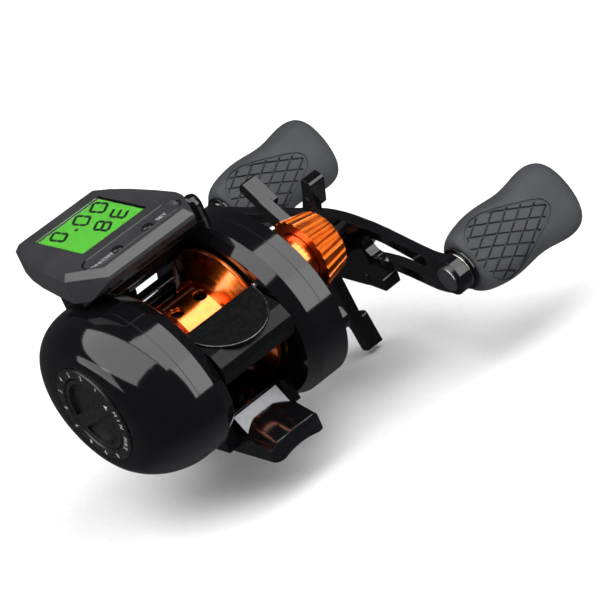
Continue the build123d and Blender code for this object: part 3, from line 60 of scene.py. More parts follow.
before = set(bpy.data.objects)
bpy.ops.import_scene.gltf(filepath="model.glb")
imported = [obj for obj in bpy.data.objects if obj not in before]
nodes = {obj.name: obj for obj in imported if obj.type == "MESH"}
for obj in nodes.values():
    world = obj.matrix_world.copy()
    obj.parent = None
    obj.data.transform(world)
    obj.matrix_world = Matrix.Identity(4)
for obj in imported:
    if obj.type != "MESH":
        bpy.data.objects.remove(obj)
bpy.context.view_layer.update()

MM = 0.001
# Height of the spool's axis, the handle's axis, and how the grips stand on its arm
AXIS = 24.5 * MM
DRIVE = Vector((0, 11.6 * MM, AXIS - 9.0 * MM))
ARM_PIVOT = 47.5 * MM
GRIP_TILT = radians(60)
# Turn that lays a standing cylinder along X
ALONG_X = (0, pi / 2, 0)
# Sides of round pieces and of bent tubes, steps of a rounded edge, and largest angle shaded smooth
RING_SIDES = 64
SMALL_SIDES = 48
PIN_SIDES = 32
TUBE_SIDES = 10
EDGE_STEPS = 3
SMOOTH_ANGLE = 35
# What still counts as lying in the middle of a piece, in millimetres
MIDDLE_MARGIN = 0.001
# Rays that round an edge in a material
EDGE_SAMPLES = 4


# Sizes and colours that a user would change
class ReelSizes(bpy.types.PropertyGroup):
    """Sizes of the modelled pieces, and the camera's lens."""
    tile_groove: bpy.props.FloatProperty(
        name="Tile groove", description="Width of the grooves between the grip's diamond tiles",
        default=0.42 * MM, min=0.1 * MM, max=1.0 * MM, unit="LENGTH")
    tile_depth: bpy.props.FloatProperty(
        name="Tile depth", description="Depth of the grooves between the diamond tiles",
        default=0.55 * MM, min=0.1 * MM, max=1.0 * MM, unit="LENGTH")
    segment_width: bpy.props.FloatProperty(
        name="Segment width", description="Width of one bar of a readout figure",
        default=0.78 * MM, min=0.2 * MM, max=1.2 * MM, unit="LENGTH")
    figure_height: bpy.props.FloatProperty(
        name="Scale figure height", description="Height of the figures round the brake dial",
        default=1.75 * MM, min=0.8 * MM, max=2.4 * MM, unit="LENGTH")
    focal_length: bpy.props.FloatProperty(
        name="Camera lens", description="Focal length of the camera on its 36 mm sensor, in millimetres",
        default=237.6, min=20.0, max=400.0, unit="CAMERA")


class ReelColours(bpy.types.PropertyGroup):
    """Colours that set the look of the reel."""
    anodised: bpy.props.StringProperty(
        name="Anodised parts", description="sRGB colour of the spool and the cast control knob",
        default="#FF761E")
    enamel: bpy.props.StringProperty(
        name="Enamel", description="sRGB colour of the gloss body", default="#0A0A0C")
    rubber: bpy.props.StringProperty(
        name="Grip rubber", description="sRGB colour of the handle grips", default="#3C3D40")
    # The readout colour also sets the liquid crystal panel's faint painted glow
    readout: bpy.props.StringProperty(
        name="Readout", description="sRGB colour of the lit liquid crystal panel", default="#5FC63A")


# Colour and node helpers
def shade(code):
    """Linear colour with alpha from an sRGB hex code."""
    parts = [int(code[i:i + 2], 16) / 255 for i in (1, 3, 5)]
    return tuple(p / 12.92 if p <= 0.04045 else ((p + 0.055) / 1.055) ** 2.4 for p in parts) + (1.0,)


def put(tree, kind, settings=None, links=None):
    """Add one node with its settings and its links."""
    made = tree.nodes.new(kind)
    for name, value in (settings or {}).items():
        if isinstance(name, str) and name.islower():
            setattr(made, name, value)
        else:
            made.inputs[name].default_value = value
    for name, source in (links or {}).items():
        tree.links.new(source, made.inputs[name])
    return made


def start_material(name):
    """Empty material and its node tree."""
    material = bpy.data.materials.new(name)
    material.use_nodes = True
    material.node_tree.nodes.clear()
    return material, material.node_tree


def grain(tree, size_mm, detail=3.0, stretch=(1.0, 1.0, 1.0)):
    """Noise whose grains measure size_mm on the piece."""
    spot = put(tree, "ShaderNodeTexCoord")
    laid = put(tree, "ShaderNodeMapping", {"Scale": stretch}, {"Vector": spot.outputs["Object"]})
    return put(tree, "ShaderNodeTexNoise", {"Scale": 1 / (size_mm * MM), "Detail": detail},
               {"Vector": laid.outputs["Vector"]}).outputs["Fac"]


def tones(tree, source, dark, light, low=0.35, high=0.65):
    """Two close colours laid by a pattern, which turns from one to the other between low and high."""
    spread = put(tree, "ShaderNodeMapRange", {"From Min": low, "From Max": high}, {0: source})
    return put(tree, "ShaderNodeMix", {"data_type": "RGBA", 6: shade(dark), 7: shade(light)},
               {0: spread.outputs[0]}).outputs[2]


def relief(tree, source, depth_mm, edge_mm, strength):
    """Bump of a real depth, on edges rounded by edge_mm."""
    soft = put(tree, "ShaderNodeBevel", {"samples": EDGE_SAMPLES, "Radius": edge_mm * MM})
    return put(tree, "ShaderNodeBump", {"Strength": strength, "Distance": depth_mm * MM},
               {"Height": source, "Normal": soft.outputs["Normal"]}).outputs["Normal"]


def close_material(tree, settings, links, source, low, high):
    """Surface and output that end a material; its roughness runs from low to high over a pattern."""
    rough = put(tree, "ShaderNodeMapRange",
                {"From Min": 0.3, "From Max": 0.7, "To Min": low, "To Max": high}, {0: source})
    surface = put(tree, "ShaderNodeBsdfPrincipled", settings, {**links, "Roughness": rough.outputs[0]})
    put(tree, "ShaderNodeOutputMaterial", None, {"Surface": surface.outputs["BSDF"]})


# Materials, each from what the real one is; marks finer than a pixel are drawn coarse enough to show
def gloss_enamel():
    """Sprayed and baked gloss enamel: deep black with crisp reflections and a faint orange peel."""
    material, tree = start_material("gloss_black_enamel")
    peel = grain(tree, 2.6, 2.0)
    dust = grain(tree, 0.5, 4.0)
    close_material(
        tree, {"IOR": 1.5},
        {"Base Color": tones(tree, peel, bpy.context.scene.reel_colours.enamel, "#0B0B0D"),
         "Normal": relief(tree, peel, 0.006, 0.2, 0.5)},
        dust, 0.06, 0.11)
    return material


# Silver face of the foot: how its normal leans, with what it may differ by, and half its width in
# millimetres
SILVER_NORMAL_Y = -0.778
SILVER_MARGIN_Y = 0.06
SILVER_NORMAL_Z = 0.628
SILVER_MARGIN_Z = 0.08
SILVER_HALF_WIDTH = 6.7


def foot_enamel():
    """The foot's gloss enamel, with its slanted rear face sprayed silver-grey."""
    material, tree = start_material("gloss_black_and_silver_enamel")
    peel = grain(tree, 1.4, 3.0)
    spot = put(tree, "ShaderNodeTexCoord")
    place = put(tree, "ShaderNodeSeparateXYZ", None, {0: spot.outputs["Object"]})
    normal = put(tree, "ShaderNodeSeparateXYZ", None, {0: spot.outputs["Normal"]})
    slanted, raised, inside = [
        put(tree, "ShaderNodeMath", {"operation": "COMPARE", 1: value, 2: margin}, {0: source}).outputs[0]
        for source, value, margin in ((normal.outputs["Y"], SILVER_NORMAL_Y, SILVER_MARGIN_Y),
                                      (normal.outputs["Z"], SILVER_NORMAL_Z, SILVER_MARGIN_Z),
                                      (place.outputs["X"], 0.0, SILVER_HALF_WIDTH * MM))]
    face = put(tree, "ShaderNodeMath", {"operation": "MULTIPLY"}, {0: slanted, 1: raised}).outputs[0]
    mask = put(tree, "ShaderNodeMath", {"operation": "MULTIPLY"}, {0: face, 1: inside}).outputs[0]
    coat = put(tree, "ShaderNodeMix", {"data_type": "RGBA"},
               {0: mask, 6: tones(tree, peel, bpy.context.scene.reel_colours.enamel, "#131315"),
                7: tones(tree, peel, "#A2A4A8", "#ACAEB2")})
    close_material(
        tree, {"IOR": 1.5},
        {"Base Color": coat.outputs[2], "Normal": relief(tree, peel, 0.008, 0.25, 0.5)},
        mask, 0.09, 0.42)
    return material


def display_resin():
    """Moulded display case: satin grey-black ABS with a fine spark-eroded grain."""
    material, tree = start_material("satin_moulded_abs")
    spark = grain(tree, 0.35, 4.0)
    cloud = grain(tree, 9.0, 2.0)
    close_material(
        tree, {"IOR": 1.5},
        {"Base Color": tones(tree, cloud, "#2E2E30", "#343436"),
         "Normal": relief(tree, spark, 0.015, 0.3, 0.5)},
        cloud, 0.26, 0.33)
    return material


def moulded_black(name, dark, light, low, high, ior=1.48):
    """Moulded resin or ceramic: an even near-black skin, from waxy to wet by its roughness."""
    material, tree = start_material(name)
    flow = grain(tree, 1.2, 4.0)
    close_material(
        tree, {"IOR": ior},
        {"Base Color": tones(tree, flow, dark, light), "Normal": relief(tree, flow, 0.01, 0.2, 0.6)},
        flow, low, high)
    return material


def anodised(name, low, high):
    """Turned and dyed aluminium: fine lines round the axis under a bright orange film."""
    material, tree = start_material(name)
    lines = grain(tree, 0.35, 3.0, (1.0, 0.02, 0.02))
    film = grain(tree, 3.0, 2.0)
    close_material(
        tree, {"Metallic": 1.0, "Anisotropic": 0.3, "Coat Weight": 1.0, "Coat Roughness": 0.1},
        {"Base Color": tones(tree, film, bpy.context.scene.reel_colours.anodised, "#FF8128"),
         "Normal": relief(tree, lines, 0.008, 0.18, 0.5)},
        lines, low, high)
    return material


def metal(name, dark, light, size_mm, low, high, stretch=(1.0, 1.0, 1.0)):
    """Bare or plated metal with fine tool marks, drawn out along the axes whose stretch is small."""
    material, tree = start_material(name)
    marks = grain(tree, size_mm, 4.0, stretch)
    close_material(
        tree, {"Metallic": 1.0},
        {"Base Color": tones(tree, marks, dark, light), "Normal": relief(tree, marks, 0.006, 0.12, 0.5)},
        marks, low, high)
    return material


def grip_rubber():
    """Moulded thermoplastic rubber: soft grey-black with a dull bloom and a fine skin."""
    material, tree = start_material("moulded_grip_rubber")
    skin = grain(tree, 0.4, 5.0)
    bloom = grain(tree, 7.0, 3.0)
    close_material(
        tree, {"IOR": 1.45, "Specular IOR Level": 0.35},
        {"Base Color": tones(tree, bloom, "#36373A", bpy.context.scene.reel_colours.rubber),
         "Normal": relief(tree, skin, 0.02, 0.22, 0.5)},
        skin, 0.5, 0.62)
    return material


def soft_rubber():
    """Plain nitrile rubber of the seals: dull black."""
    material, tree = start_material("moulded_nitrile_rubber")
    skin = grain(tree, 0.5, 4.0)
    close_material(
        tree, {"IOR": 1.5},
        {"Base Color": tones(tree, skin, "#0C0C0D", "#18181A"),
         "Normal": relief(tree, skin, 0.01, 0.25, 0.5)},
        skin, 0.3, 0.45)
    return material


def clear_lens():
    """Moulded clear polycarbonate: a thin window with a hard coat and the faintest unevenness."""
    material, tree = start_material("clear_polycarbonate")
    wave = grain(tree, 14.0, 1.0)
    close_material(
        tree, {"IOR": 1.3, "Transmission Weight": 1.0, "Base Color": shade("#F8FBF8")}, {},
        wave, 0.0, 0.02)
    return material


def crystal_green():
    """Liquid crystal panel: even green with a faint cell grain, and a faint painted glow that stands in for
    the light the lens keeps off it.
    """
    material, tree = start_material("liquid_crystal_painted_glow")
    cells = grain(tree, 0.5, 2.0)
    glow = tones(tree, cells, "#58BC36", bpy.context.scene.reel_colours.readout)
    close_material(
        # Painted light: the emission is a painted glow that stands in for the light which the lens keeps off
        # the panel
        tree, {"IOR": 1.4, "Emission Strength": 0.22}, {"Base Color": glow, "Emission Color": glow},
        cells, 0.5, 0.6)
    return material


# Distance between the twill's lines in millimetres, drawn far coarser than the real threads
TWILL_SPACING = 6.53
# The wave texture turns a full wave in 2 pi / 10 of the three coordinates' sum at scale 1
DIAGONAL_WAVE = 2 * pi / (10 * sqrt(3))


def friction_cloth():
    """Woven friction cloth of the drag washers: a twill of black threads."""
    material, tree = start_material("woven_friction_cloth")
    spot = put(tree, "ShaderNodeTexCoord")
    twill = put(tree, "ShaderNodeTexWave",
                {"wave_type": "BANDS", "bands_direction": "DIAGONAL",
                 "Scale": DIAGONAL_WAVE / (TWILL_SPACING * MM), "Distortion": 1.5},
                {"Vector": spot.outputs["Object"]}).outputs["Fac"]
    close_material(
        tree, {"IOR": 1.5},
        {"Base Color": tones(tree, twill, "#0D0D0E", "#262628"),
         "Normal": relief(tree, twill, 0.05, 0.1, 0.6)},
        twill, 0.45, 0.7)
    return material


def circuit_laminate():
    """Lacquered glass laminate: green solder mask with paler tracks."""
    material, tree = start_material("lacquered_circuit_laminate")
    tracks = grain(tree, 1.6, 0.0)
    close_material(
        tree, {"IOR": 1.55}, {"Base Color": tones(tree, tracks, "#0C4A26", "#1C6B3A", 0.48, 0.52)},
        tracks, 0.25, 0.35)
    return material


def pad_ink(name, dark, light):
    """Pad-printed ink: flat colour with a slightly uneven film."""
    material, tree = start_material(name)
    film = grain(tree, 0.5, 3.0)
    close_material(tree, {"IOR": 1.45}, {"Base Color": tones(tree, film, dark, light)}, film, 0.4, 0.6)
    return material


# Which finish each carried-over node gets
NODE_FINISHES = {
    "gloss": ["frame", "palm_cover", "handle_cover", "display_bottom_case", "star_drag", "handle_arm",
              "knob_cap_front", "knob_cap_rear"],
    "thumb": ["thumb_bar"],
    "foot": ["reel_foot"],
    "display": ["display_top_case"],
    "dial": ["brake_dial", "brake_scale_ring"],
    "acetal": ["level_wind_gear", "worm_gear", "clutch_yoke", "line_guide"],
    "orange": ["spool", "tension_collar"],
    "orange_knob": ["tension_knob"],
    "aluminium": ["magnet_plate", "inductor_cup", "worm_tube", "knob_spindles"],
    "steel": ["foot_screws", "spool_bearing_left", "spool_bearing_right", "pinion_bearing", "cover_screws",
              "spool_shaft", "yoke_posts", "yoke_springs", "drive_shaft", "drag_plates", "one_way_sleeve",
              "one_way_bearing", "spring_washers", "worm_shaft", "guide_rod", "case_screws"],
    "nickel": ["brake_magnets", "handle_nut", "nut_retainer", "retainer_screw", "coin_cell"],
    "brass": ["pinion_gear", "drive_gear", "guide_pawl"],
    "cloth": ["drag_washers"],
    "ceramic": ["line_guide_ring"],
    "rubber": ["tension_o_ring", "case_gasket", "button_on_off", "button_set"],
    "grip": ["handle_knob_front", "handle_knob_rear"],
    "lens": ["display_lens"],
    "crystal": ["lcd_panel"],
    "laminate": ["circuit_board"],
}
finishes = {}


def make_finishes():
    """Make every material once."""
    around_x = (1.0, 0.03, 0.03)
    finishes["gloss"] = gloss_enamel()
    finishes["foot"] = foot_enamel()
    finishes["display"] = display_resin()
    # Fine satin mould skin: a soft, even sheen on the dial and its scale
    finishes["dial"] = moulded_black("satin_black_acetal", "#141415", "#1C1C1D", 0.25, 0.34)
    # Bare moulded acetal: waxy, with only a soft glow at its edges
    finishes["acetal"] = moulded_black("moulded_black_acetal", "#0E0E10", "#19191B", 0.35, 0.5)
    finishes["orange"] = anodised("orange_anodised_aluminium", 0.14, 0.26)
    # Blasted before dyeing: the same orange with broad, soft highlights
    finishes["orange_knob"] = anodised("blasted_orange_aluminium", 0.3, 0.42)
    # Turned on a lathe: pale grey, its highlights drawn out round the axis
    finishes["aluminium"] = metal("turned_aluminium", "#A9ABAE", "#BFC1C4", 0.3, 0.22, 0.36, around_x)
    # Ground: darker and tighter streaks
    finishes["steel"] = metal("ground_stainless_steel", "#8E8F92", "#A5A6A8", 0.25, 0.18, 0.3, around_x)
    # Polished and plated: warm and nearly a mirror
    finishes["nickel"] = metal("polished_nickel_plate", "#BDBBB4", "#CBC9C3", 0.8, 0.06, 0.14)
    # Cut by a hob: yellow, with the tool's short marks across the teeth
    finishes["brass"] = metal("hobbed_brass", "#B08A3C", "#C9A24E", 0.25, 0.2, 0.34, (1.0, 0.2, 0.2))
    finishes["cloth"] = friction_cloth()
    # Fired and polished ceramic: black with small sharp highlights
    finishes["ceramic"] = moulded_black("polished_ceramic", "#0B0B0C", "#131314", 0.04, 0.09)
    finishes["rubber"] = soft_rubber()
    finishes["grip"] = grip_rubber()
    finishes["lens"] = clear_lens()
    finishes["crystal"] = crystal_green()
    finishes["laminate"] = circuit_laminate()
    finishes["white_ink"] = pad_ink("white_pad_ink", "#9C9D9E", "#B4B5B6")
    # Moulded nylon: deeper black than the shells, with hardly a reflection
    finishes["thumb"] = moulded_black("satin_black_nylon", "#060607", "#0B0B0C", 0.3, 0.38, 1.28)
    # Polished mould: wet-looking button tops
    finishes["button"] = moulded_black("glossy_button_resin", "#0B0B0C", "#121213", 0.1, 0.16)
    # Grey metal on the pad's bead: the rounded edge is real, its grey a painted highlight of the light on
    # the black edge
    finishes["bead"] = metal("grey_bead_painted_highlight", "#515254", "#67686B", 0.6, 0.2, 0.35)
    # Switched-on crystal: the readout's near-black bars
    finishes["segment"] = pad_ink("dark_liquid_crystal", "#050805", "#0A100A")


# Modelling helpers
def clear_selection():
    """Leave edit mode and deselect everything."""
    if bpy.context.object and bpy.context.object.mode != "OBJECT":
        bpy.ops.object.mode_set(mode="OBJECT")
    bpy.ops.object.select_all(action="DESELECT")


def take(piece):
    """Make a piece the only selected and active one."""
    clear_selection()
    piece.select_set(True)
    bpy.context.view_layer.objects.active = piece


def open_mesh(piece):
    """Enter edit mode on a piece with its whole mesh selected."""
    take(piece)
    bpy.ops.object.mode_set(mode="EDIT")
    bpy.ops.mesh.select_all(action="SELECT")


def close_mesh():
    """Leave edit mode."""
    bpy.ops.object.mode_set(mode="OBJECT")


def pick(piece, test):
    """In edit mode, select the vertices whose place passes a test."""
    bpy.ops.mesh.select_mode(type="VERT")
    bpy.ops.mesh.select_all(action="DESELECT")
    mesh = bmesh.from_edit_mesh(piece.data)
    for vertex in mesh.verts:
        vertex.select = test(vertex.co)
    mesh.select_flush_mode()
    bmesh.update_edit_mesh(piece.data)


def settle(piece, name=None):
    """Bring a piece's place into its mesh, so its object sits at the origin."""
    take(piece)
    bpy.ops.object.transform_apply(location=True, rotation=True, scale=True)
    if name:
        piece.name = name
        piece.data.name = name
    return piece


def turn_and_move(piece, matrix):
    """Place a finished piece by a matrix and settle it."""
    piece.matrix_world = matrix @ piece.matrix_world
    return settle(piece)


def shift(piece, x, y, z):
    """Move a finished piece and settle it."""
    return turn_and_move(piece, Matrix.Translation((x, y, z)))


def copy_of(piece, name):
    """Copy of a piece with its own mesh."""
    take(piece)
    bpy.ops.object.duplicate(linked=False)
    made = bpy.context.object
    made.name = name
    made.data.name = name
    return made


def joined(pieces, name):
    """Several pieces made one."""
    clear_selection()
    for piece in pieces:
        piece.select_set(True)
    bpy.context.view_layer.objects.active = pieces[0]
    bpy.ops.object.join()
    return settle(bpy.context.object, name)


def rod(radius, length, sides, spot=(0, 0, 0), turn=(0, 0, 0), name=None):
    """Closed cylinder to start a piece or to cut with."""
    clear_selection()
    bpy.ops.mesh.primitive_cylinder_add(vertices=sides, radius=radius, depth=length, location=spot,
                                        rotation=turn, end_fill_type="NGON")
    return settle(bpy.context.object, name)


def draw_apart(piece, distance):
    """Move a piece's two halves apart along X, so that it turns long."""
    open_mesh(piece)
    for side in (-1, 1):
        pick(piece, lambda spot: spot.x * side > MIDDLE_MARGIN * MM)
        bpy.ops.transform.translate(value=(side * distance, 0, 0))
    close_mesh()


def round_edges(piece, offset, steps=EDGE_STEPS):
    """Bevel every edge of a piece."""
    open_mesh(piece)
    bpy.ops.mesh.bevel(offset=offset, segments=steps, affect="EDGES")
    close_mesh()


def apply_modifier(piece, kind, **settings):
    """Add a modifier, set it and apply it."""
    take(piece)
    modifier = piece.modifiers.new(kind.lower(), kind)
    for name, value in settings.items():
        setattr(modifier, name, value)
    bpy.ops.object.modifier_apply(modifier=modifier.name)


def cut(piece, cutter, operation="DIFFERENCE", keep=False):
    """Boolean one piece by another, which goes unless kept."""
    apply_modifier(piece, "BOOLEAN", operation=operation, object=cutter, solver="EXACT")
    if not keep:
        bpy.data.objects.remove(cutter)


def dress(piece, finish, body, smooth=SMOOTH_ANGLE):
    """Give a piece its finish, its shading and the body that it moves with."""
    piece.data.materials.clear()
    piece.data.materials.append(finishes[finish])
    take(piece)
    bpy.ops.object.shade_smooth_by_angle(angle=radians(smooth))
    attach(piece, body)


# Grips: stations along the spindle, each with half width and half thickness, in millimetres
GRIP_STATIONS = [(51.9, 6.0, 4.6), (52.7, 7.1, 5.2), (54.2, 8.0, 5.5), (57.0, 8.8, 5.8), (61.0, 9.4, 6.0),
                 (65.0, 9.3, 5.9), (69.5, 8.7, 5.7), (73.5, 8.9, 5.6), (77.5, 9.8, 5.6), (81.0, 10.0, 5.6),
                 (83.6, 9.2, 5.2), (84.9, 7.8, 4.6), (85.4, 6.2, 3.9)]
STATION_MARGIN = 0.05
GRIP_SIDES = 32
GRIP_SQUARENESS = 0.3
GRIP_ROUNDINGS = 2
GRIP_SMOOTH_ANGLE = 40
# Sunk panel: stations with half widths, its place across the grip, its depth and its cutter's height
PANEL_STATIONS = [(52.9, 0.6), (53.3, 3.0), (54.4, 5.6), (56.4, 7.3), (59.0, 8.2), (62.0, 8.0), (66.0, 6.7),
                  (70.0, 5.1), (74.0, 3.4), (76.4, 2.0), (77.2, 0.6)]
PANEL_SIDE = -0.6
PANEL_DEPTH = 0.28
PANEL_CUTTER = 16.4
# Plain border round the tiles: at the panel's sides, start and end, how many stations of either end
# it moves, the least half width that it leaves, and its cutter's height
BORDER_SIDE = 0.55
BORDER_START = 0.5
BORDER_END = -0.6
BORDER_STATIONS = 3
NARROWEST = 0.3
BORDER_CUTTER = 16.2
# Diamond tiles: half diagonals, middle of the pattern, and the bars that cut their grooves
TILE_LONG = 3.0
TILE_WIDE = 1.6
TILE_MIDDLE = (64.6, -0.5)
GROOVE_REACH = 6
GROOVE_LENGTH = 34
GROOVE_CUTTERS = ((-1, 15.8), (1, 16.0))
# Where a plate's moved columns wait, far from those not moved yet, and how near a column its points lie
PARKED = 100
COLUMN_MARGIN = 0.01


def grip_bar(name):
    """Bar along X, its sections squared ovals whose half sizes are given at each station."""
    start, end = GRIP_STATIONS[0][0] * MM, GRIP_STATIONS[-1][0] * MM
    bar = rod(1, end - start, GRIP_SIDES, ((start + end) / 2, 0, 0), ALONG_X, name)
    apply_modifier(bar, "CAST", cast_type="CUBOID", factor=GRIP_SQUARENESS, use_x=False, size=1.0)
    widest = max(abs(v.co.y) for v in bar.data.vertices)
    open_mesh(bar)
    for x, _, _ in GRIP_STATIONS[1:-1]:
        bpy.ops.mesh.select_all(action="SELECT")
        bpy.ops.mesh.bisect(plane_co=(x * MM, 0, 0), plane_no=(1, 0, 0))
    for x, half_width, half_thickness in GRIP_STATIONS:
        pick(bar, lambda spot: abs(spot.x - x * MM) < STATION_MARGIN * MM)
        bpy.ops.transform.resize(value=(1, half_width * MM / widest, half_thickness * MM / widest),
                                 center_override=(x * MM, 0, 0))
    close_mesh()
    apply_modifier(bar, "SUBSURF", levels=GRIP_ROUNDINGS, render_levels=GRIP_ROUNDINGS)
    return bar


def plate_by_widths(stations, thickness, name):
    """Plate along X on the panel's middle, its half width given at each station, shaped in millimetres."""
    clear_selection()
    bpy.ops.mesh.primitive_grid_add(x_subdivisions=len(stations) - 1, y_subdivisions=1, size=1)
    plate = settle(bpy.context.object, name)
    columns = sorted({round(v.co.x, 4) for v in plate.data.vertices})
    open_mesh(plate)
    for column, (x, half_width) in reversed(list(zip(columns, stations))):
        pick(plate, lambda spot: abs(spot.x - column) < COLUMN_MARGIN)
        bpy.ops.transform.resize(value=(1, 2 * half_width, 1), center_override=(0, 0, 0))
        bpy.ops.transform.translate(value=(x + PARKED - column, 0, 0))
    bpy.ops.mesh.select_all(action="SELECT")
    bpy.ops.transform.translate(value=(-PARKED, 0, -thickness / 2))
    bpy.ops.mesh.extrude_region_move(TRANSFORM_OT_translate={"value": (0, 0, thickness)})
    bpy.ops.mesh.select_all(action="SELECT")
    bpy.ops.mesh.normals_make_consistent(inside=False)
    bpy.ops.transform.resize(value=(MM, MM, MM), center_override=(0, 0, 0))
    close_mesh()
    return shift(plate, 0, PANEL_SIDE * MM, 0)


def bordered_stations():
    """The panel's stations drawn in by the plain border round the tiles."""
    drawn_in = []
    first_of_end = len(PANEL_STATIONS) - BORDER_STATIONS
    for i, (x, half_width) in enumerate(PANEL_STATIONS):
        border = BORDER_START if i < BORDER_STATIONS else BORDER_END if i >= first_of_end else 0
        drawn_in.append((x + border, max(half_width - BORDER_SIDE, NARROWEST)))
    return drawn_in


def shrunk_copy(piece, depth, name):
    """Copy of a closed piece, drawn in by a depth."""
    made = copy_of(piece, name)
    open_mesh(made)
    bpy.ops.transform.shrink_fatten(value=-depth)
    close_mesh()
    return made


def groove_sets():
    """Two crossing sets of thin bars that follow the sides of the diamond tiles."""
    width = bpy.context.scene.reel_sizes.tile_groove
    slope = atan2(TILE_WIDE, TILE_LONG)
    step = 2 * TILE_LONG * TILE_WIDE / hypot(TILE_LONG, TILE_WIDE) * MM
    middle = Vector((*TILE_MIDDLE, 0)) * MM
    sets = []
    for side, height in GROOVE_CUTTERS:
        bars = []
        for i in range(-GROOVE_REACH, GROOVE_REACH + 1):
            clear_selection()
            across = Vector((-sin(slope) * side, cos(slope), 0)) * step * i
            bpy.ops.mesh.primitive_cube_add(size=1, location=middle + across, rotation=(0, 0, slope * side))
            bar = bpy.context.object
            bar.scale = (GROOVE_LENGTH * MM, width, height * MM)
            bars.append(settle(bar))
        sets.append(joined(bars, "groove_set"))
    return sets


def build_grip(name):
    """One grip on the X axis: squared bar with a sunk panel of diamond tiles on both broad faces."""
    grip = grip_bar(name)
    panel = plate_by_widths(PANEL_STATIONS, PANEL_CUTTER, "panel_cutter")
    limit = plate_by_widths(bordered_stations(), BORDER_CUTTER, "tile_limit")
    core = shrunk_copy(grip, PANEL_DEPTH * MM, "panel_floor")
    deep = shrunk_copy(grip, bpy.context.scene.reel_sizes.tile_depth + PANEL_DEPTH * MM, "groove_floor")
    cut(panel, core)
    cutters = groove_sets()
    for bars in cutters:
        cut(bars, limit, "INTERSECT", keep=True)
        cut(bars, deep, keep=True)
    for spare in (limit, deep):
        bpy.data.objects.remove(spare)
    for cutter in (panel, *cutters):
        cut(grip, cutter)
    return grip


class REEL_OT_grips(bpy.types.Operator):
    """Model the two handle grips with their tiled panels"""
    bl_idname = "reel.grips"
    bl_label = "Handle grips"

    def execute(self, context):
        grip = build_grip("front_grip")
        rear = copy_of(grip, "rear_grip")
        for piece, side, body, node in ((grip, 1, "front_knob", "handle_knob_front"),
                                        (rear, -1, "rear_knob", "handle_knob_rear")):
            place = DRIVE + Vector((0, side * ARM_PIVOT, 0))
            turn_and_move(piece, Matrix.Translation(place) @ Matrix.Rotation(GRIP_TILT, 4, "X"))
            dress(piece, "grip", body, GRIP_SMOOTH_ANGLE)
            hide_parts(node)
        return {"FINISHED"}


# Grip mouths: each ring's start and end along the spindle, its radius in millimetres, and its finish
MOUTH_RINGS = [("mouth_ring", 51.25, 51.95, 5.5, "gloss"), ("mouth_washer", 50.75, 51.25, 4.5, "nickel")]
MOUTH_EDGE = 0.15
MOUTH_BORE = 3.2
MOUTH_CUTTER = 6


class REEL_OT_mouth_rings(bpy.types.Operator):
    """Model the black ring and bright washer at the mouth of each grip"""
    bl_idname = "reel.mouth_rings"
    bl_label = "Grip mouth rings"

    def execute(self, context):
        for side, body in ((1, "front_knob"), (-1, "rear_knob")):
            place = DRIVE + Vector((0, side * ARM_PIVOT, 0))
            for name, start, end, radius, finish in MOUTH_RINGS:
                ring = rod(radius * MM, (end - start) * MM, RING_SIDES, turn=ALONG_X, name=body + "_" + name)
                round_edges(ring, MOUTH_EDGE * MM)
                shift(ring, *(place + Vector(((start + end) / 2 * MM, 0, 0))))
                cut(ring, rod(MOUTH_BORE * MM, MOUTH_CUTTER * MM, RING_SIDES,
                              place + Vector((start * MM, 0, 0)), ALONG_X))
                dress(ring, finish, body)
        return {"FINISHED"}


# Readout: each figure is given by its top left, top right and bottom left corners, in millimetres
FIGURES = [("0", (-11.76, 23.29), (-8.37, 25.64), (-11.14, 17.41)),
           ("0", (-4.98, 22.91), (-1.24, 25.71), (-4.15, 17.2)),
           ("0", (0.46, 22.99), (4.32, 25.9), (1.37, 17.36)),
           ("8", (-5.05, 13.84), (-1.46, 16.52), (-4.25, 8.22)),
           ("E", (0.37, 14.4), (3.91, 16.72), (1.05, 8.6))]
FIGURES_SHIFT = (0.3, 0.7)
POINT_SPOT = (-5.8, 19.7)
POINT_RADIUS = 0.5
POINT_SIDES = 20
READOUT_THICKNESS = 0.06
# Bars lit in each figure, the corners that each runs between, how far it stops short of them, its sides
LIT_BARS = {"0": "abcdef", "8": "abcdefg", "E": "adefg"}
BAR_ENDS = {"a": ("tl", "tr"), "b": ("tr", "mr"), "c": ("mr", "br"), "d": ("bl", "br"), "e": ("ml", "bl"),
            "f": ("tl", "ml"), "g": ("ml", "mr")}
BAR_STOP_SHARE = 0.72
BAR_SIDES = 6


def readout_bar(start, end, height):
    """Long hexagonal bar between two points of the panel."""
    width = bpy.context.scene.reel_sizes.segment_width
    run = end - start
    bar = rod(width / sqrt(3), READOUT_THICKNESS * MM, BAR_SIDES, turn=(0, 0, pi / BAR_SIDES))
    draw_apart(bar, max(run.length / 2 - width * BAR_STOP_SHARE, 0))
    middle = (start + end) / 2
    place = Matrix.Translation((middle.x, middle.y, height))
    return turn_and_move(bar, place @ Matrix.Rotation(atan2(run.y, run.x), 4, "Z"))


def figure_bars(figure, top_left, top_right, bottom_left, height):
    """Bars of one seven-bar figure, leaning as its corners do."""
    edge = bpy.context.scene.reel_sizes.segment_width / 2
    across = (Vector(top_right) - Vector(top_left)) * MM
    down = (Vector(bottom_left) - Vector(top_left)) * MM
    start = Vector(top_left) * MM + across.normalized() * edge + down.normalized() * edge
    across = across - across.normalized() * 2 * edge
    down = down - down.normalized() * 2 * edge
    corner = {"tl": start, "tr": start + across, "ml": start + down / 2, "mr": start + across + down / 2,
              "bl": start + down, "br": start + across + down}
    return [readout_bar(corner[BAR_ENDS[bar][0]], corner[BAR_ENDS[bar][1]], height)
            for bar in LIT_BARS[figure]]


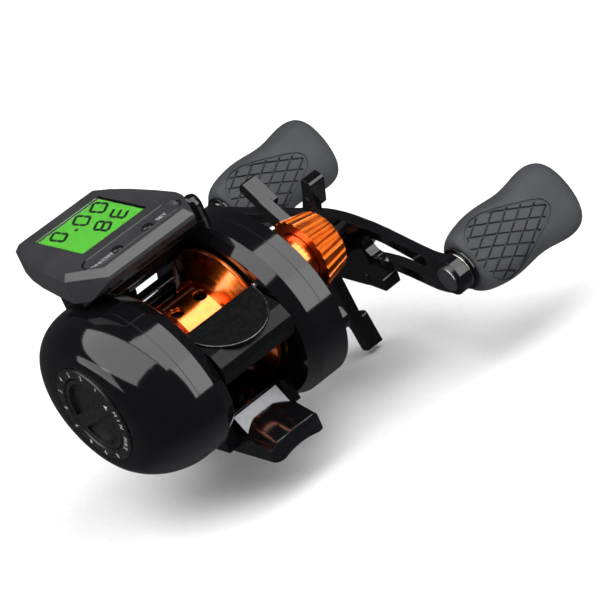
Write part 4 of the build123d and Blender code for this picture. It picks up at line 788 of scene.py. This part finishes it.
class REEL_OT_readout(bpy.types.Operator):
    """Model the dark figures on the liquid crystal panel"""
    bl_idname = "reel.readout"
    bl_label = "Readout figures"

    def execute(self, context):
        thickness = READOUT_THICKNESS * MM
        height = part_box("lcd_panel")[1].z + thickness / 2
        bars = []
        for figure, *corners in FIGURES:
            moved = [(x + FIGURES_SHIFT[0], y + FIGURES_SHIFT[1]) for x, y in corners]
            bars += figure_bars(figure, *moved, height)
        bars.append(rod(POINT_RADIUS * MM, thickness, POINT_SIDES,
                        (POINT_SPOT[0] * MM, POINT_SPOT[1] * MM, height)))
        dress(joined(bars, "readout_figures"), "segment", "reel")
        return {"FINISHED"}


# Button recess in the display's top: middle, depth below the top, lip, floor and the holes in it
RECESS_X = -3.5
RECESS_DEPTH = 0.53
LIP_Y = -0.25
LIP_RADIUS = 3.25
LIP_THICKNESS = 0.26
LIP_DROP = 0.14
LIP_HALF_LENGTH = 11.15
FLOOR_Y = -1.1
FLOOR_RADIUS = 2.05
FLOOR_THICKNESS = 0.06
FLOOR_HALF_LENGTH = 11.4
FLOOR_HOLE = 1.52
FLOOR_CUTTER = 4


class REEL_OT_button_recess(bpy.types.Operator):
    """Model the lip and the dark floor of the recess round the push buttons"""
    bl_idname = "reel.button_recess"
    bl_label = "Button recess"

    def execute(self, context):
        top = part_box("display_top_case")[1].z
        clear_selection()
        bpy.ops.mesh.primitive_torus_add(major_radius=LIP_RADIUS * MM, minor_radius=LIP_THICKNESS * MM,
                                         major_segments=RING_SIDES, minor_segments=TUBE_SIDES)
        lip = settle(bpy.context.object, "recess_lip")
        open_mesh(lip)
        bpy.ops.mesh.bisect(plane_co=(0, 0, 0), plane_no=(1, 0, 0))
        close_mesh()
        draw_apart(lip, LIP_HALF_LENGTH * MM)
        shift(lip, RECESS_X * MM, LIP_Y * MM, top - LIP_DROP * MM)
        dress(lip, "gloss", "reel")
        floor = rod(FLOOR_RADIUS * MM, FLOOR_THICKNESS * MM, RING_SIDES, name="recess_floor")
        draw_apart(floor, FLOOR_HALF_LENGTH * MM)
        shift(floor, RECESS_X * MM, FLOOR_Y * MM, top - (RECESS_DEPTH + FLOOR_THICKNESS / 2) * MM)
        for button in ("button_on_off", "button_set"):
            low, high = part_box(button)
            cut(floor, rod(FLOOR_HOLE * MM, FLOOR_CUTTER * MM, SMALL_SIDES,
                           ((low.x + high.x) / 2, (low.y + high.y) / 2, top)))
        dress(floor, "display", "reel")
        return {"FINISHED"}


# Push buttons: radius, rounding of the dome and its steps, and height of the flange, in millimetres
BUTTON_RADIUS = 1.45
BUTTON_DOME = 0.6
DOME_STEPS = 6
FLANGE_HEIGHT = 0.75


class REEL_OT_buttons(bpy.types.Operator):
    """Model the two domed push buttons with their flanges"""
    bl_idname = "reel.buttons"
    bl_label = "Push buttons"

    def execute(self, context):
        for node, body in (("button_on_off", "on_off_button"), ("button_set", "set_button")):
            low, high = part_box(node)
            middle = (low + high) / 2
            button = rod(BUTTON_RADIUS * MM, high.z - low.z, SMALL_SIDES, middle, name="domed_" + node)
            open_mesh(button)
            pick(button, lambda spot: spot.z > middle.z)
            bpy.ops.mesh.bevel(offset=BUTTON_DOME * MM, segments=DOME_STEPS, affect="EDGES")
            close_mesh()
            flange = rod((high.x - low.x) / 2, FLANGE_HEIGHT * MM, SMALL_SIDES,
                         (middle.x, middle.y, low.z + FLANGE_HEIGHT / 2 * MM))
            button = joined([button, flange], "domed_" + node)
            dress(button, "button", body)
            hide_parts(node)
        return {"FINISHED"}


# Printed marks: thickness of the ink, steps of a letter's curves, and the words in the button recess
INK_THICKNESS = 0.04
LETTER_STEPS = 3
BUTTON_WORDS = [("ON/OFF", (-13.6, -1.3)), ("SET", (4.9, -1.1))]
WORD_HEIGHT = 2.0


def letters(words, size):
    """Words as a thin mesh, centred on the origin and facing up."""
    clear_selection()
    bpy.ops.object.text_add()
    text = bpy.context.object
    text.data.body = words
    text.data.size = size
    text.data.extrude = INK_THICKNESS / 2 * MM
    text.data.align_x = "CENTER"
    text.data.align_y = "CENTER"
    text.data.resolution_u = LETTER_STEPS
    bpy.ops.object.convert(target="MESH")
    return settle(bpy.context.object)


class REEL_OT_button_words(bpy.types.Operator):
    """Print the words beside the two push buttons"""
    bl_idname = "reel.button_words"
    bl_label = "Button words"

    def execute(self, context):
        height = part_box("display_top_case")[1].z - (RECESS_DEPTH - INK_THICKNESS / 2) * MM
        words = [shift(letters(text, WORD_HEIGHT * MM), x * MM, y * MM, height)
                 for text, (x, y) in BUTTON_WORDS]
        dress(joined(words, "button_words"), "white_ink", "reel")
        return {"FINISHED"}


# Scale round the brake dial: radius in millimetres, and angles in degrees from forward towards up
SCALE_RADIUS = 11.0
SCALE_WORDS = [("MIN", 176.0), ("MAX", 214.0)]
LETTER_STEP = 9.0
SCALE_FIGURES = "1234567890"
SCALE_FIRST = 130.0
SCALE_STEP = 26.0
POINTER_RADIUS = 8.1
POINTER_SIZE = 0.8
POINTER_SIDES = 3
POINTER_ANGLE = 155.0


def on_scale(piece, angle, radius=SCALE_RADIUS):
    """Lay a flat piece on the scale ring's face at an angle from forward towards up."""
    a = radians(angle)
    outward = Vector((0, cos(a), sin(a)))
    along = Vector((0, -sin(a), cos(a)))
    face = Vector((-1, 0, 0))
    spot = Vector((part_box("brake_scale_ring")[0].x, 0, AXIS)) + outward * radius * MM
    turn = Matrix((along, outward, face)).transposed().to_4x4()
    return turn_and_move(piece, Matrix.Translation(spot) @ turn)


class REEL_OT_dial_marks(bpy.types.Operator):
    """Print the scale round the brake dial and the dial's pointer"""
    bl_idname = "reel.dial_marks"
    bl_label = "Dial marks"

    def execute(self, context):
        size = context.scene.reel_sizes.figure_height
        marks = [on_scale(letters(letter, size), angle + (i - 1) * LETTER_STEP)
                 for word, angle in SCALE_WORDS for i, letter in enumerate(word)]
        marks += [on_scale(letters(figure, size), SCALE_FIRST - SCALE_STEP * i)
                  for i, figure in enumerate(SCALE_FIGURES)]
        dress(joined(marks, "scale_marks"), "white_ink", "reel")
        pointer = rod(POINTER_SIZE * MM, INK_THICKNESS * MM, POINTER_SIDES, name="dial_pointer")
        on_scale(pointer, POINTER_ANGLE, POINTER_RADIUS)
        shift(pointer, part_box("brake_dial")[0].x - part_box("brake_scale_ring")[0].x, 0, 0)
        dress(pointer, "white_ink", "brake_knob")
        return {"FINISHED"}


# Thumb bar: the pad's upper edge and its tilt
BAR_EDGE = Vector((0, -15.7 * MM, AXIS + 10.2 * MM))
BAR_TILT = radians(20)
# Its bead and the pin beside it, in millimetres
BEAD_RADIUS = 10.75
BEAD_LENGTH = 12.85
BEAD_THICKNESS = 0.17
BEAD_CUT = -0.2
BEAD_STEPS = 120
PIN_RADIUS = 0.8
PIN_LENGTH = 1.8
PIN_EDGE = 0.25
PIN_SPOT = Vector((11.7, -0.6, -0.4))


class REEL_OT_bar_trim(bpy.types.Operator):
    """Model the fine bead round the thumb bar's pad and the pin beside it"""
    bl_idname = "reel.bar_trim"
    bl_label = "Thumb bar trim"

    def execute(self, context):
        clear_selection()
        bpy.ops.mesh.primitive_torus_add(major_radius=BEAD_RADIUS * MM, minor_radius=BEAD_THICKNESS * MM,
                                         major_segments=BEAD_STEPS, minor_segments=TUBE_SIDES)
        bead = settle(bpy.context.object, "bar_bead")
        open_mesh(bead)
        bpy.ops.transform.resize(value=(1, BEAD_LENGTH / BEAD_RADIUS, 1), center_override=(0, 0, 0))
        bpy.ops.mesh.bisect(plane_co=(0, BEAD_CUT * MM, 0), plane_no=(0, 1, 0), clear_outer=True,
                            use_fill=True)
        close_mesh()
        turn_and_move(bead, Matrix.Translation(BAR_EDGE) @ Matrix.Rotation(BAR_TILT, 4, "X"))
        # The bead's grey metal is a painted highlight along the pad's rounded edge
        dress(bead, "bead", "clutch_bar")
        pin = rod(PIN_RADIUS * MM, PIN_LENGTH * MM, PIN_SIDES, turn=ALONG_X, name="bar_pin")
        round_edges(pin, PIN_EDGE * MM)
        shift(pin, *(BAR_EDGE + PIN_SPOT * MM))
        dress(pin, "nickel", "clutch_bar")
        return {"FINISHED"}


# Lip across the reel's front, in millimetres
FRONT_LIP_SIZE = (26.4, 0.3, 7.0)
FRONT_LIP_EDGE = 0.12
FRONT_LIP_STEPS = 2
FRONT_LIP_SPOT = (0, 29.78, 23.9)


class REEL_OT_front_lip(bpy.types.Operator):
    """Model the lip across the reel's front below the line opening"""
    bl_idname = "reel.front_lip"
    bl_label = "Front lip"

    def execute(self, context):
        clear_selection()
        bpy.ops.mesh.primitive_cube_add(size=1)
        lip = bpy.context.object
        lip.scale = Vector(FRONT_LIP_SIZE) * MM
        settle(lip, "front_lip")
        round_edges(lip, FRONT_LIP_EDGE * MM, FRONT_LIP_STEPS)
        shift(lip, *(Vector(FRONT_LIP_SPOT) * MM))
        dress(lip, "gloss", "reel")
        return {"FINISHED"}


# Worm: half its thick length, its end pins, and the grooves that wind to and fro, in millimetres
WORM_HALF_LENGTH = 10.9
WORM_PIN_RADIUS = 1.2
WORM_SLICES = 96
GROOVE_PITCH = 6.4
GROOVE_DEPTH = 0.55
GROOVE_HALF_SHARE = 0.11
GROOVE_STOP = 0.7


def in_groove(spot):
    """Whether a point of the worm lies in one of its two crossing grooves."""
    if abs(spot.x) >= (WORM_HALF_LENGTH - GROOVE_STOP) * MM:
        return False
    turn = atan2(spot.z, spot.y) / (2 * pi)
    phases = [(spot.x / (GROOVE_PITCH * MM) + side * turn) % 1.0 for side in (-1, 1)]
    return any(abs(phase - 0.5) < GROOVE_HALF_SHARE for phase in phases)


class REEL_OT_worm(bpy.types.Operator):
    """Model the worm shaft with its crossing grooves"""
    bl_idname = "reel.worm"
    bl_label = "Worm shaft"

    def execute(self, context):
        low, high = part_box("worm_shaft")
        half = WORM_HALF_LENGTH * MM
        worm = rod((high.z - low.z) / 2, 2 * half, SMALL_SIDES, turn=ALONG_X)
        open_mesh(worm)
        for i in range(1, WORM_SLICES):
            bpy.ops.mesh.select_all(action="SELECT")
            bpy.ops.mesh.bisect(plane_co=(-half + 2 * half * i / WORM_SLICES, 0, 0), plane_no=(1, 0, 0))
        pick(worm, in_groove)
        bpy.ops.transform.shrink_fatten(value=-GROOVE_DEPTH * MM)
        close_mesh()
        ends = [rod(WORM_PIN_RADIUS * MM, end - start, PIN_SIDES, ((start + end) / 2, 0, 0), ALONG_X)
                for start, end in ((low.x, -half), (half, high.x))]
        worm = joined([worm] + ends, "grooved_worm")
        shift(worm, 0, (low.y + high.y) / 2, (low.z + high.z) / 2)
        dress(worm, "steel", "worm")
        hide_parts("worm_shaft")
        return {"FINISHED"}


class REEL_OT_finishes(bpy.types.Operator):
    """Give every carried-over node its material"""
    bl_idname = "reel.finishes"
    bl_label = "Finishes"

    def execute(self, context):
        make_finishes()
        for finish, names in NODE_FINISHES.items():
            for name in names:
                node = nodes[name]
                node.data.materials.clear()
                node.data.materials.append(finishes[finish])
        unfinished = set(nodes) - {name for names in NODE_FINISHES.values() for name in names}
        if unfinished:
            raise RuntimeError("no finish for " + ", ".join(sorted(unfinished)))
        return {"FINISHED"}


# Camera fitted to the photograph: its place in metres, then its right, up and backward directions
CAMERA_SPOT = Vector((-0.37399, -0.73861, 0.41232))
CAMERA_RIGHT = Vector((0.71383656, -0.59132497, -0.37519613))
CAMERA_UP = Vector((0.55008671, 0.1418815, 0.82296674))
CAMERA_BACK = Vector((-0.4334074, -0.79385415, 0.42656021))
SENSOR_WIDTH = 36.0
NEAR_AND_FAR = (0.05, 10.0)
# Softboxes, placed from the photograph's reflections: brightness, then three corners in metres
SOFTBOXES = {
    "overhead_left_box": (3.1, (-3.2, 1.2, 1.3), (-0.03, 1.2, 1.3), (-3.2, -0.8, 1.3)),
    "overhead_right_box": (3.6, (0.0, 0.05, 1.3), (1.2, 0.05, 1.3), (0.0, -1.25, 1.3)),
    "rear_right_box": (4.2, (0.28, -1.25, 1.3), (1.3, -1.25, 1.3), (0.28, -1.25, -0.02)),
    "front_left_box": (2.2, (-1.8, 1.9, 0.9), (-1.8, 0.45, 0.9), (-1.8, 1.9, -0.02)),
}
# Paper floor: its size in metres, and how far it lies below the reel in millimetres
FLOOR_SIZE = 6
FLOOR_DROP = 1


def softbox(name, brightness, corner, along, down):
    """Evenly lit rectangle given by three of its corners, facing the reel."""
    data = bpy.data.lights.new(name, "AREA")
    data.shape = "RECTANGLE"
    wide, tall = along - corner, down - corner
    data.size, data.size_y = wide.length, tall.length
    data.energy = brightness * pi * data.size * data.size_y
    lamp = bpy.data.objects.new(name, data)
    bpy.context.scene.collection.objects.link(lamp)
    x_axis, y_axis = wide.normalized(), tall.normalized()
    middle = corner + (wide + tall) / 2
    back = x_axis.cross(y_axis)
    if back.dot(middle) < 0:
        y_axis, back = -y_axis, -back
    lamp.matrix_world = Matrix.Translation(middle) @ Matrix((x_axis, y_axis, back)).transposed().to_4x4()
    lamp.visible_camera = False


def dim_room(scene):
    """Dark room with a faint glow from straight below."""
    world = bpy.data.worlds.new("studio_room")
    scene.world = world
    world.use_nodes = True
    tree = world.node_tree
    tree.nodes.clear()
    spot = put(tree, "ShaderNodeTexCoord")
    split = put(tree, "ShaderNodeSeparateXYZ", None, {0: spot.outputs["Generated"]})
    glow = put(tree, "ShaderNodeMapRange",
               {"From Min": -0.7, "From Max": -1.0, "To Min": 0.06, "To Max": 0.2}, {0: split.outputs["Z"]})
    room = put(tree, "ShaderNodeBackground", {"Color": shade("#F4F6FA")}, {"Strength": glow.outputs[0]})
    put(tree, "ShaderNodeOutputWorld", None, {"Surface": room.outputs[0]})


def studio_paper():
    """Matt white paper: an even, nearly shadeless ground with a faint fibre."""
    material, tree = start_material("pale_studio_paper")
    fibre = grain(tree, 1.5, 3.0)
    close_material(tree, {"IOR": 1.45, "Specular IOR Level": 0.1},
                   {"Base Color": tones(tree, fibre, "#F0F0F1", "#F3F3F4")}, fibre, 0.85, 0.95)
    return material


class REEL_OT_studio(bpy.types.Operator):
    """Set the floor, the lights and the camera"""
    bl_idname = "reel.studio"
    bl_label = "Studio"

    def execute(self, context):
        scene = context.scene
        clear_selection()
        bpy.ops.mesh.primitive_plane_add(size=FLOOR_SIZE,
                                         location=(0, 0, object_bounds()[0].z - FLOOR_DROP * MM))
        floor = settle(bpy.context.object, "studio_floor")
        floor.data.materials.append(studio_paper())
        floor.visible_glossy = False
        floor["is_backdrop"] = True
        dim_room(scene)
        for name, (brightness, *corners) in SOFTBOXES.items():
            softbox(name, brightness, *[Vector(corner) for corner in corners])
        data = bpy.data.cameras.new("studio_camera")
        data.lens = scene.reel_sizes.focal_length
        data.sensor_width = SENSOR_WIDTH
        data.clip_start, data.clip_end = NEAR_AND_FAR
        camera = bpy.data.objects.new("studio_camera", data)
        scene.collection.objects.link(camera)
        turn = Matrix((CAMERA_RIGHT, CAMERA_UP, CAMERA_BACK)).transposed().to_4x4()
        camera.matrix_world = Matrix.Translation(CAMERA_SPOT) @ turn
        scene.camera = camera
        scene.view_settings.view_transform = "Standard"
        return {"FINISHED"}


OPERATORS = (REEL_OT_finishes, REEL_OT_studio, REEL_OT_grips, REEL_OT_mouth_rings, REEL_OT_readout,
             REEL_OT_button_recess, REEL_OT_buttons, REEL_OT_button_words, REEL_OT_dial_marks,
             REEL_OT_bar_trim, REEL_OT_front_lip, REEL_OT_worm)


class REEL_PT_panel(bpy.types.Panel):
    """Lists the pieces of the reel"""
    bl_idname = "REEL_PT_panel"
    bl_label = "Baitcasting reel"
    bl_space_type = "VIEW_3D"
    bl_region_type = "UI"
    bl_category = "Reel"

    def draw(self, context):
        for group in (context.scene.reel_sizes, context.scene.reel_colours):
            for name in group.__annotations__:
                self.layout.prop(group, name)
        for operator in OPERATORS:
            self.layout.operator(operator.bl_idname)


CLASSES = (ReelSizes, ReelColours) + OPERATORS + (REEL_PT_panel,)


def register():
    """Register the classes and their scene properties."""
    for item in CLASSES:
        bpy.utils.register_class(item)
    bpy.types.Scene.reel_sizes = bpy.props.PointerProperty(type=ReelSizes)
    bpy.types.Scene.reel_colours = bpy.props.PointerProperty(type=ReelColours)


def unregister():
    """Take the classes and their scene properties away again."""
    del bpy.types.Scene.reel_colours
    del bpy.types.Scene.reel_sizes
    for item in reversed(CLASSES):
        bpy.utils.unregister_class(item)


def main():
    """Build the whole look."""
    register()
    for operator in OPERATORS:
        group, name = operator.bl_idname.split(".")
        getattr(getattr(bpy.ops, group), name)()


if __name__ == "__main__":
    main()
